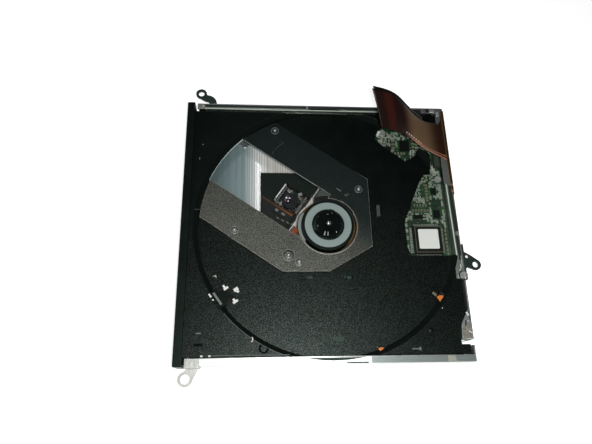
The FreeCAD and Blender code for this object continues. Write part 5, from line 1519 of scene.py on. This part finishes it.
@dataclass
class TrayMarks(Details):
    """Bits seen on the tray: the clip's pale windows, moulded marks, coloured slots and bright lines."""

    well: float = 8.4
    deck: float = 10.8
    clip_turn: float = 34.8
    rear_film: tuple[Pair, ...] = ((-1.2, 0.9), (0.1, 1.6), (2.0, 1.5), (1.7, 0.6), (0.3, -1.5))
    front_film: tuple[Pair, ...] = ((-0.9, -0.2), (-0.6, 0.6), (1.3, 0.7), (1.4, 0.2), (0.0, -0.8))
    film_thickness: float = 0.35

    def film(self, name: str, x: float, y: float, foot: float, outline: tuple[Pair, ...]) -> None:
        """Orange corner of a film: its outline at the foot and at the top.

        Args:
            name: the piece's name.
            x: x of the outline's origin.
            y: y of the outline's origin.
            foot: height of the underside.
            outline: corners round that origin.
        """
        corner = np.array(outline) + [x, y]
        rings = np.stack([np.column_stack([corner, np.full(len(corner), height)])
                          for height in (foot, foot + self.film_thickness)])
        self.put(name, swept(rings), "mark_orange", "flex_orange")

    def make(self) -> None:
        """Build the bits."""
        well, deck, turn = self.well, self.deck, self.clip_turn
        self.bits("clip_windows", "white_marks_and_painted_highlights", "clip_plastic", [
            (-47.6, -30.3, well + 0.3, 2.3, 1.1, 0.35, turn),
            (-48.5, -29.4, well + 0.3, 1.0, 1.3, 0.35, turn),
            (-43.1, -30.7, well, 2.2, 1.5, 0.3, turn), (-42.4, -31.6, well, 1.0, 1.4, 0.3, 70.0),
            (-43.9, -35.5, well + 0.3, 1.0, 1.2, 0.35, turn),
            (-43.2, -36.3, well + 0.3, 2.6, 1.1, 0.35, turn),
            (-54.4, -33.9, deck - 0.3, 0.8, 1.9, 0.2, turn),
            (-53.0, -35.8, deck - 0.3, 0.7, 0.7, 0.2, turn)])
        self.bits("clip_shadow", "black_marks_and_painted_shade", "clip_plastic", [
            (-47.2, -33.2, well - 1.5, 12.0, 12.0, 0.2, turn)])
        self.bits("clip_bar", "grey_marks_and_painted_highlights", "clip_plastic", [
            (-50.6, -35.0, deck - 0.25, 2.2, 6.4, 0.5, turn)])
        self.bits("pale_marks", "white_marks_and_painted_highlights", "tray_plastic", [
            (-52.9, -24.5, well, 1.2, 0.28, 0.08, 20.0), (-52.2, -24.9, well, 0.3, 0.8, 0.08, 10.0),
            (-57.0, -59.9, deck, 1.1, 0.7, 0.15, 0.0), (-53.6, -59.9, deck, 0.9, 0.7, 0.15, 0.0),
            (50.4, -40.3, deck, 0.4, 0.4, 0.06, 0.0), (54.2, 30.6, deck - 1.2, 0.35, 2.6, 0.3, -8.0)])
        self.bits("grey_marks", "grey_marks_and_painted_highlights", "tray_plastic", [
            (-58.7, -50.3, deck, 2.2, 0.5, 0.06, 0.0), (36.2, -58.1, deck, 3.2, 0.5, 0.1, 0.0),
            (38.2, -58.1, deck, 0.9, 1.5, 0.1, 0.0), (-66.0, -14.7, deck, 0.25, 3.2, 0.1, 2.0),
            (-60.6, 41.3, deck, 0.7, 0.5, 0.08, 0.0), (-61.9, 33.6, deck, 0.45, 1.1, 0.08, 0.0),
            (-62.0, 7.0, deck, 2.6, 0.16, 0.05, 0.0)])
        self.bits("green_slots", "mark_green", "tray_plastic", [
            (-9.3, -25.3, well, 2.7, 1.4, 0.05, 0.0), (8.8, -25.4, well, 2.3, 1.4, 0.05, 0.0),
            (2.6, -53.1, well, 4.8, 1.9, 0.05, 0.0)])
        self.bits("dark_slots", "black_marks_and_painted_shade", "tray_plastic", [
            (-62.6, -55.1, deck, 2.6, 1.0, 0.04, 0.0), (-49.6, -22.2, well, 1.0, 1.0, 0.04, 0.0)])
        self.bits("film_shadows", "black_marks_and_painted_shade", "tray_plastic", [
            (51.5, -33.9, deck - 1.55, 2.6, 2.2, 0.3, -34.0),
            (21.8, -57.4, deck - 1.5, 3.0, 1.6, 0.3, 20.0)])
        self.film("orange_film_rear", 49.9, -35.9, 9.6, self.rear_film)
        self.film("orange_film_front", 20.6, -57.9, 9.7, self.front_film)
        self.bits("film_ends", "bronze_bevels_and_painted_highlights", "flex_orange", [(48.3, -33.4, well, 2.2, 1.2, 0.3, -40.0)])
        run = np.linspace((-53.0, -59.75, deck + 0.02), (-19.3, -59.75, deck + 0.02), 24)
        self.line("runner_line", "grey_marks_and_painted_highlights", "tray_plastic", run, 0.14)
        hook = arc(1.3, -60.0, 45.0, 14, deck + 0.03, (-36.6, -53.1))
        self.line("pale_crescent", "white_marks_and_painted_highlights", "tray_plastic", hook, 0.22)
        for name, radius, foot in (("rim_shine_outer", 63.7, deck), ("rim_shine_inner", 61.55, deck - 1.5)):
            self.line(name, "grey_marks_and_painted_highlights", "tray_plastic", arc(radius, -139.0, -100.0, 60, foot), 0.1)
        bump = np.array([[44.0, -50.1, deck], [-61.0, -30.0, deck], [-60.0, -5.0, deck]])
        self.put("moulded_bumps", studs(bump, [1.1, 0.5, 0.4], 0.35, 20), "bezel_plastic")


@dataclass
class PlateDetails(Details):
    """Domes' rings and centres and lines along the slot's edges, all painted highlights; the slot's closed
    end, with a wall in painted light and a painted highlight on top; slits and a scratch on the plate.
    """

    top: float = 8.8
    domes: tuple[Row, ...] = (
        (-25.0, 50.8, 1.8, 0.4), (16.0, 18.8, 1.8, 0.4), (-44.3, -2.5, 1.8, 0.4), (-19.1, -14.8, 2.8, 0.6),
        (-14.2, -18.0, 1.8, 0.4))
    end_wall: tuple[Pair, ...] = ((61.22, 8.02), (61.36, 8.02), (61.36, 9.3), (61.22, 9.3))
    end_foot: tuple[Pair, ...] = ((59.6, 1.22), (64.8, 1.22), (64.8, 1.32), (59.6, 1.3))
    end_sweep: tuple[float, float, int] = (132.2, 158.2, 40)

    def make(self) -> None:
        """Build the details."""
        top = self.top
        # The domes' rings and centre dots are painted highlights.
        rings = [tube(arc(reach, 0.0, 360.0, 49, top + rise, (x, y)), 0.11)
                 for x, y, radius, height in self.domes
                 for reach, rise in ((radius, 0.03), (radius * 0.45, height * 0.86))]
        centres = np.array([(x, y, top + height - 0.06) for x, y, _, height in self.domes])
        self.put("dome_highlight_rings", merged(rings), "silver_trim_and_painted_highlights", "plate_nickel")
        self.put("dome_highlight_centres", studs(centres, 0.42, 0.14, 16), "white_marks_and_painted_highlights", "plate_nickel")
        # The end wall's lighter copy of the sheet finish is painted light.
        self.put("slot_end_wall", curved_bar(self.end_wall, *self.end_sweep), "shield_wall_painted_light", "shield_bright")
        self.put("slot_end_foot", curved_bar(self.end_foot, *self.end_sweep), "shield_bright")
        # The line along the end wall's top is a painted highlight.
        self.line("slot_end_highlight", "painted_highlight_bright", "shield_bright", arc(61.3, *self.end_sweep, 9.36), 0.09)
        # The lines along the slot's edges are painted highlights.
        far_edge = path_place(np.linspace(15.5, 58.5, 60), -14.2, top - 0.05)
        near_edge = path_place(np.linspace(16.5, 32.0, 40), 12.9, top - 0.05)
        self.line("slot_edge_highlight", "silver_trim_and_painted_highlights", "plate_nickel", far_edge, 0.16)
        self.line("slot_edge_near_highlight", "bronze_bevels_and_painted_highlights", "plate_nickel", near_edge, 0.1)
        scratch = smooth_curve(np.array([[-26.5, 37.7, top], [-24.2, 41.0, top], [-20.5, 44.3, top]]), 20)
        self.put("plate_scratch", tube(scratch, 0.05, 6), "grey_marks_and_painted_highlights", "plate_nickel")
        self.bits("plate_slits", "silver_trim_and_painted_highlights", "plate_nickel", [
            (6.2, 18.5, top, 2.6, 0.3, 0.05, -35.0), (9.5, 15.6, top, 1.2, 0.3, 0.05, -35.0),
            (-13.0, 15.9, top, 1.9, 1.4, 0.05, 20.0)], 0.02)


@dataclass
class PanDetails(Details):
    """Painted highlight lines along edges, painted shade strips, patches, screws and end pieces on the pan's
    flanges, and bits on the board and its chip.
    """

    body: str = "case"
    top: float = 12.0
    board: float = 2.4
    chip: float = 5.3

    def make(self) -> None:
        """Build the details."""
        top, board, chip = self.top, self.board, self.chip
        self.bits("flange_end_pieces", "silver_trim_and_painted_highlights", "case_steel", [
            (57.6, -62.4, top, 8.6, 2.4, 0.16, 0.0), (33.0, -62.5, top, 34.0, 2.6, 0.12, 0.0)])
        self.bits("flange_pale_patches", "worn_zinc", "case_steel", [
            (51.4, -62.4, top, 3.0, 2.2, 0.18, 0.0), (-61.0, 62.6, top, 1.2, 1.4, 0.1, 0.0)])
        self.bits("flange_slots", "black_marks_and_painted_shade", "case_steel", [
            (9.8, -63.6, top, 9.6, 0.5, 0.03, 0.0),
            (49.0, 62.0, top, 4.0, 2.2, 0.05, 0.0), (54.5, 62.4, top, 1.6, 1.8, 0.3, 20.0)])
        # Dark strips on the far and rear flanges: painted shade.
        self.bits("flange_painted_shades", "painted_shade_steel", "case_steel", [
            (-35.0, 62.75, top, 52.0, 1.5, 0.03, 0.0), (18.5, 62.75, top, 53.0, 1.6, 0.03, 0.0),
            (61.2, 8.0, top, 1.6, 24.0, 0.04, 1.0), (61.4, -12.0, top, 1.4, 12.0, 0.04, 1.0)])
        self.bits("board_block", "white_marks_and_painted_highlights", "ceramic", [(29.8, 53.4, board, 1.3, 2.7, 1.5, -24.0)])
        self.bits("board_spots", "lead_tin", "lead_tin", [
            (32.8, 53.0, board, 1.2, 1.2, 0.5, 20.0), (31.2, 49.9, board, 2.2, 1.6, 0.3, -38.0),
            (57.2, 31.5, board, 1.2, 3.4, 1.6, 0.0), (46.4, 41.6, board, 0.7, 5.2, 0.4, -4.0)])
        # White bits at the rear corner: partly painted highlights on its facets.
        self.bits("corner_white_bits_and_painted_highlights", "white_marks_and_painted_highlights", "case_steel", [
            (61.2, -43.2, top, 0.9, 1.8, 0.05, 24.0), (61.6, -51.4, top + 0.3, 1.3, 0.5, 0.05, -24.0),
            (60.9, -51.0, top + 0.3, 0.4, 0.7, 0.05, 10.0), (61.0, -46.4, top, 0.6, 0.5, 0.05, 40.0),
            (60.8, -54.2, top + 0.3, 2.8, 0.3, 0.05, 2.0)])
        # Glints and dark bits on the screw's head: painted highlights and painted shade.
        self.bits("knob_glints", "white_marks_and_painted_highlights", "fastener", [
            (62.1, -27.0, top + 1.3, 0.4, 1.1, 0.05, 12.0), (63.2, -26.0, top + 1.3, 0.3, 0.8, 0.05, -30.0)])
        self.bits("knob_painted_shades", "black_marks_and_painted_shade", "fastener", [
            (62.8, -27.3, top + 1.3, 1.1, 0.3, 0.04, 16.0), (62.6, -25.7, top + 1.3, 0.3, 0.7, 0.04, 0.0)])
        # Bright streaks on the rear flange: painted highlights.
        self.bits("rear_highlight_streaks", "painted_highlight_bright", "case_steel", [
            (61.9, -18.4, top, 0.28, 5.0, 0.05, 0.0), (61.2, -21.2, top, 0.5, 2.0, 0.05, 6.0)])
        # Dark bits at the rear corner: painted shade.
        self.bits("corner_painted_shades", "painted_shade_steel", "case_steel", [
            (61.9, -44.0, top, 0.5, 4.0, 0.04, 6.0), (59.8, -47.6, top, 0.6, 3.2, 0.04, -10.0),
            (60.8, -53.6, top, 3.0, 0.3, 0.04, 0.0)])
        self.bits("corner_bits", "fastener", "fastener", [
            (57.0, 62.2, top, 2.4, 1.6, 0.3, -15.0), (59.8, 60.6, top, 1.2, 2.6, 0.35, 0.0),
            (45.6, 62.0, top, 2.2, 2.0, 0.2, 0.0)])
        # The line along the far flange is a painted highlight.
        line = np.linspace((-60.5, 61.15, top + 0.02), (44.0, 61.15, top + 0.02), 80)
        self.line("far_flange_highlight", "painted_highlight_bright", "case_steel", line, 0.2)
        # The line along the rear flange is a painted highlight.
        rear = np.array([[59.4, 20.4], [59.6, 8.0], [59.8, -4.0], [60.0, -15.8]])
        rear = np.column_stack([rear, np.full(len(rear), top + 0.06)])
        self.line("rear_flange_highlight", "painted_highlight_pale", "case_steel", smooth_curve(rear, 50), 0.32)
        screws = np.array([[61.4, -26.4, top], [59.8, -25.6, top], [60.6, -22.8, top]])
        self.put("rear_screws", studs(screws, [0.9, 0.6, 0.5], 0.4, 20), "fastener")
        self.bits("chip_bevel", "bronze_bevels_and_painted_highlights", "chip_grey", [
            (50.0, -12.3, chip, 13.4, 0.26, 0.1, 0.0), (50.0, 0.8, chip, 13.4, 0.3, 0.1, 0.0),
            (43.4, -5.75, chip, 0.26, 12.9, 0.1, 0.0), (56.6, -5.75, chip, 0.2, 12.9, 0.1, 0.0)])


@dataclass
class LensCarrier(Details):
    """Suspension wires, coils and the lens's glints."""

    body: str = "lens_carrier"
    wire: float = 0.06
    wire_sides: Pair = (-5.9, 2.7)
    wire_heights: Pair = (4.8, 5.6)
    coils: tuple[Pair, ...] = ((25.4, -3.0), (25.4, 0.4), (17.9, -3.0), (17.9, 0.4))
    coil_height: float = 5.7
    coil_reaches: Row = (0.85, 0.95, 1.05, 1.15)
    flatness: float = 0.8

    def make(self) -> None:
        """Build the details: each coil is four flattened loops, one outside the other."""
        wires = [tube(path_place(np.linspace(15.5, 22.0, 6), v, z), self.wire, 6)
                 for v in self.wire_sides for z in self.wire_heights]
        turn = np.linspace(0.0, TURN, 36)
        across, up = np.cos(turn), self.flatness * np.sin(turn)
        loops = [tube(path_place(u, v + reach * across, self.coil_height + reach * up), self.wire, 6)
                 for u, v in self.coils for reach in self.coil_reaches]
        glints = np.array([[-19.6, 14.5, 7.82], [-18.1, 14.3, 7.86], [-18.9, 12.7, 7.84]])
        self.put("suspension_wires", merged(wires), "copper", "shaft_steel")
        self.put("focus_coils", merged(loops), "copper", "shaft_steel")
        self.put("lens_glints", studs(glints, [0.5, 0.42, 0.24], 0.08, 16), "white_marks_and_painted_highlights", "lens")


@dataclass
class PickupDetails(Details):
    """Shine on the yoke, and solder and gold contacts on the pickup's film."""

    body: str = "pickup"
    film: float = 7.0

    def make(self) -> None:
        """Build the details, in line with the pickup's path."""
        film, turn = self.film, SLOT_DEGREES - 180.0
        shine = (*path_place(28.6, -2.3, 7.86), 0.45, 8.6, 0.14, SLOT_DEGREES)
        self.bits("yoke_shine", "white_marks_and_painted_highlights", "yoke", [shine], 0.03)
        self.bits("pickup_solder", "grey_marks_and_painted_highlights", "lead_tin", [
            (-24.4, 8.2, film, 1.7, 1.3, 0.6, turn), (-21.3, 6.1, film, 2.0, 1.1, 0.6, turn)], 0.15)
        self.bits("pickup_contacts", "bronze_bevels_and_painted_highlights", "lead_tin", [
            (-23.9, 4.1, film, 1.4, 0.5, 0.6, turn), (-21.6, 2.9, film, 1.5, 0.6, 0.6, turn),
            (-19.2, 1.7, film, 1.6, 0.5, 0.6, turn), (-17.2, 0.9, film, 0.9, 0.6, 0.6, turn)], 0.1)


@dataclass(frozen=True)
class Lamp:
    """Rectangular lamp. Place, aim and size are in millimetres, and the power is in watts."""

    name: str
    place: Triple
    aim: Triple
    size: Pair
    power: float

    def make(self) -> None:
        """Put the lamp in the scene and turn it to its aim."""
        data = bpy.data.lights.new(self.name, "AREA")
        data.shape = "RECTANGLE"
        data.size = self.size[0] * MM
        data.size_y = self.size[1] * MM
        data.energy = self.power
        made = in_scene(self.name, data)
        made.location = Vector(self.place) * MM
        made.rotation_euler = (Vector(self.aim) - Vector(self.place)).to_track_quat("-Z", "Y").to_euler()


@dataclass
class Studio:
    """Pale floor, lamps, world and camera."""

    eye: Triple = (-0.032612, -0.076830, 0.227750)
    turn: Triple = (0.3439, -0.0744, 0.0043)
    lens: float = 29.74
    floor_half: float = 900.0
    floor_height: float = -0.3
    floor_glow: float = 0.75
    lamps: tuple[Lamp, ...] = (
        Lamp("key", (-8.0, -84.0, 236.0), (0.0, -20.0, 0.0), (30.0, 30.0), 0.46),
        Lamp("strip", (-33.6, 134.0, 232.0), (-33.0, 20.0, 0.0), (3.6, 86.0), 0.024),
        Lamp("fill", (-330.0, 40.0, 190.0), (0.0, 0.0, 0.0), (240.0, 240.0), 0.22))

    def camera(self) -> None:
        """Camera at the photograph's viewing angle."""
        data = bpy.data.cameras.new("camera")
        data.lens = self.lens
        data.sensor_width = 36.0
        data.clip_start = 0.01
        data.clip_end = 20.0
        view = in_scene("camera", data)
        view.rotation_mode = "ZYX"
        view.location = self.eye
        view.rotation_euler = self.turn
        bpy.context.scene.camera = view

    def floor(self) -> None:
        """Pale floor that reads white to the camera and keeps the object's shadow."""
        tree = Tree("floor_paper")
        paper = tree.blend(tree.noise(1.5) * 0.1, (0.9, 0.9, 0.9, 1.0), (0.86, 0.86, 0.86, 1.0))
        tree.surface(Base_Color=paper, Roughness=0.9)
        rays = tree.add("ShaderNodeLightPath").outputs
        seen = Wire(tree, rays["Is Camera Ray"])
        seen = seen.most(rays["Is Glossy Ray"]).most(rays["Is Transmission Ray"])
        glow = tree.add("ShaderNodeEmission", {"Color": WHITE, "Strength": seen * self.floor_glow})
        both = tree.add("ShaderNodeAddShader", {0: tree.shader.outputs[0], 1: glow.outputs[0]})
        tree.feed(tree.output.inputs["Surface"], both.outputs[0])
        side = np.linspace(-self.floor_half, self.floor_half, 7)
        x, y = np.meshgrid(side, side)
        points = np.stack([x.ravel(), y.ravel(), np.full(x.size, self.floor_height)], -1) * MM
        mesh = bpy.data.meshes.new("floor")
        mesh.from_pydata(points.tolist(), [], grid_faces(7, 7)[:, ::-1].tolist())
        mesh.materials.append(tree.material)
        in_scene("floor", mesh)

    def world(self) -> None:
        """World that is white to the camera, pale at the horizon and dim overhead."""
        world = bpy.data.worlds.new("studio")
        bpy.context.scene.world = world
        tree = Nodes(world)
        place = tree.add("ShaderNodeTexCoord").outputs["Generated"]
        up = tree.wire("ShaderNodeSeparateXYZ", {0: place}, 2)
        inputs = {0: up, "From Min": 0.05, "From Max": 0.45, "To Min": 0.6, "To Max": 0.02}
        slope = tree.wire("ShaderNodeMapRange", inputs, interpolation_type="SMOOTHSTEP")
        strength = slope.most(tree.add("ShaderNodeLightPath").outputs["Is Camera Ray"])
        glow = tree.add("ShaderNodeBackground", {"Color": WHITE, "Strength": strength})
        tree.add("ShaderNodeOutputWorld", {"Surface": glow.outputs[0]})

    def make(self) -> None:
        """Set up the studio."""
        self.camera()
        self.floor()
        self.world()
        for lamp in self.lamps:
            lamp.make()
        view = bpy.context.scene.view_settings
        view.view_transform = "Standard"


def main() -> None:
    """Load the frame, dress it, build every piece and set up the studio."""
    logging.basicConfig(level=logging.INFO, format="%(message)s")
    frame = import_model()
    Studio().make()
    bench = Bench(frame)
    HostRibbon(bench).make()
    MainBoard(bench).make()
    Spring(bench, "latch_spring", (-44.0, -46.4, 4.9), (-44.0, -46.4, 6.3), 1.6, 0.2, 3.5).make()
    Spring(bench, "pusher_spring", (-29.8, -56.6, 5.5), (-14.1, -56.6, 5.5), 0.82, 0.15, 15.0).make()
    for group in (LeadScrew, FoldedFlex, SpindleHub, MotorSurround, TrayMarks, PlateDetails, PanDetails,
                  LensCarrier, PickupDetails):
        group(bench).make()


if __name__ == "__main__":
    main()
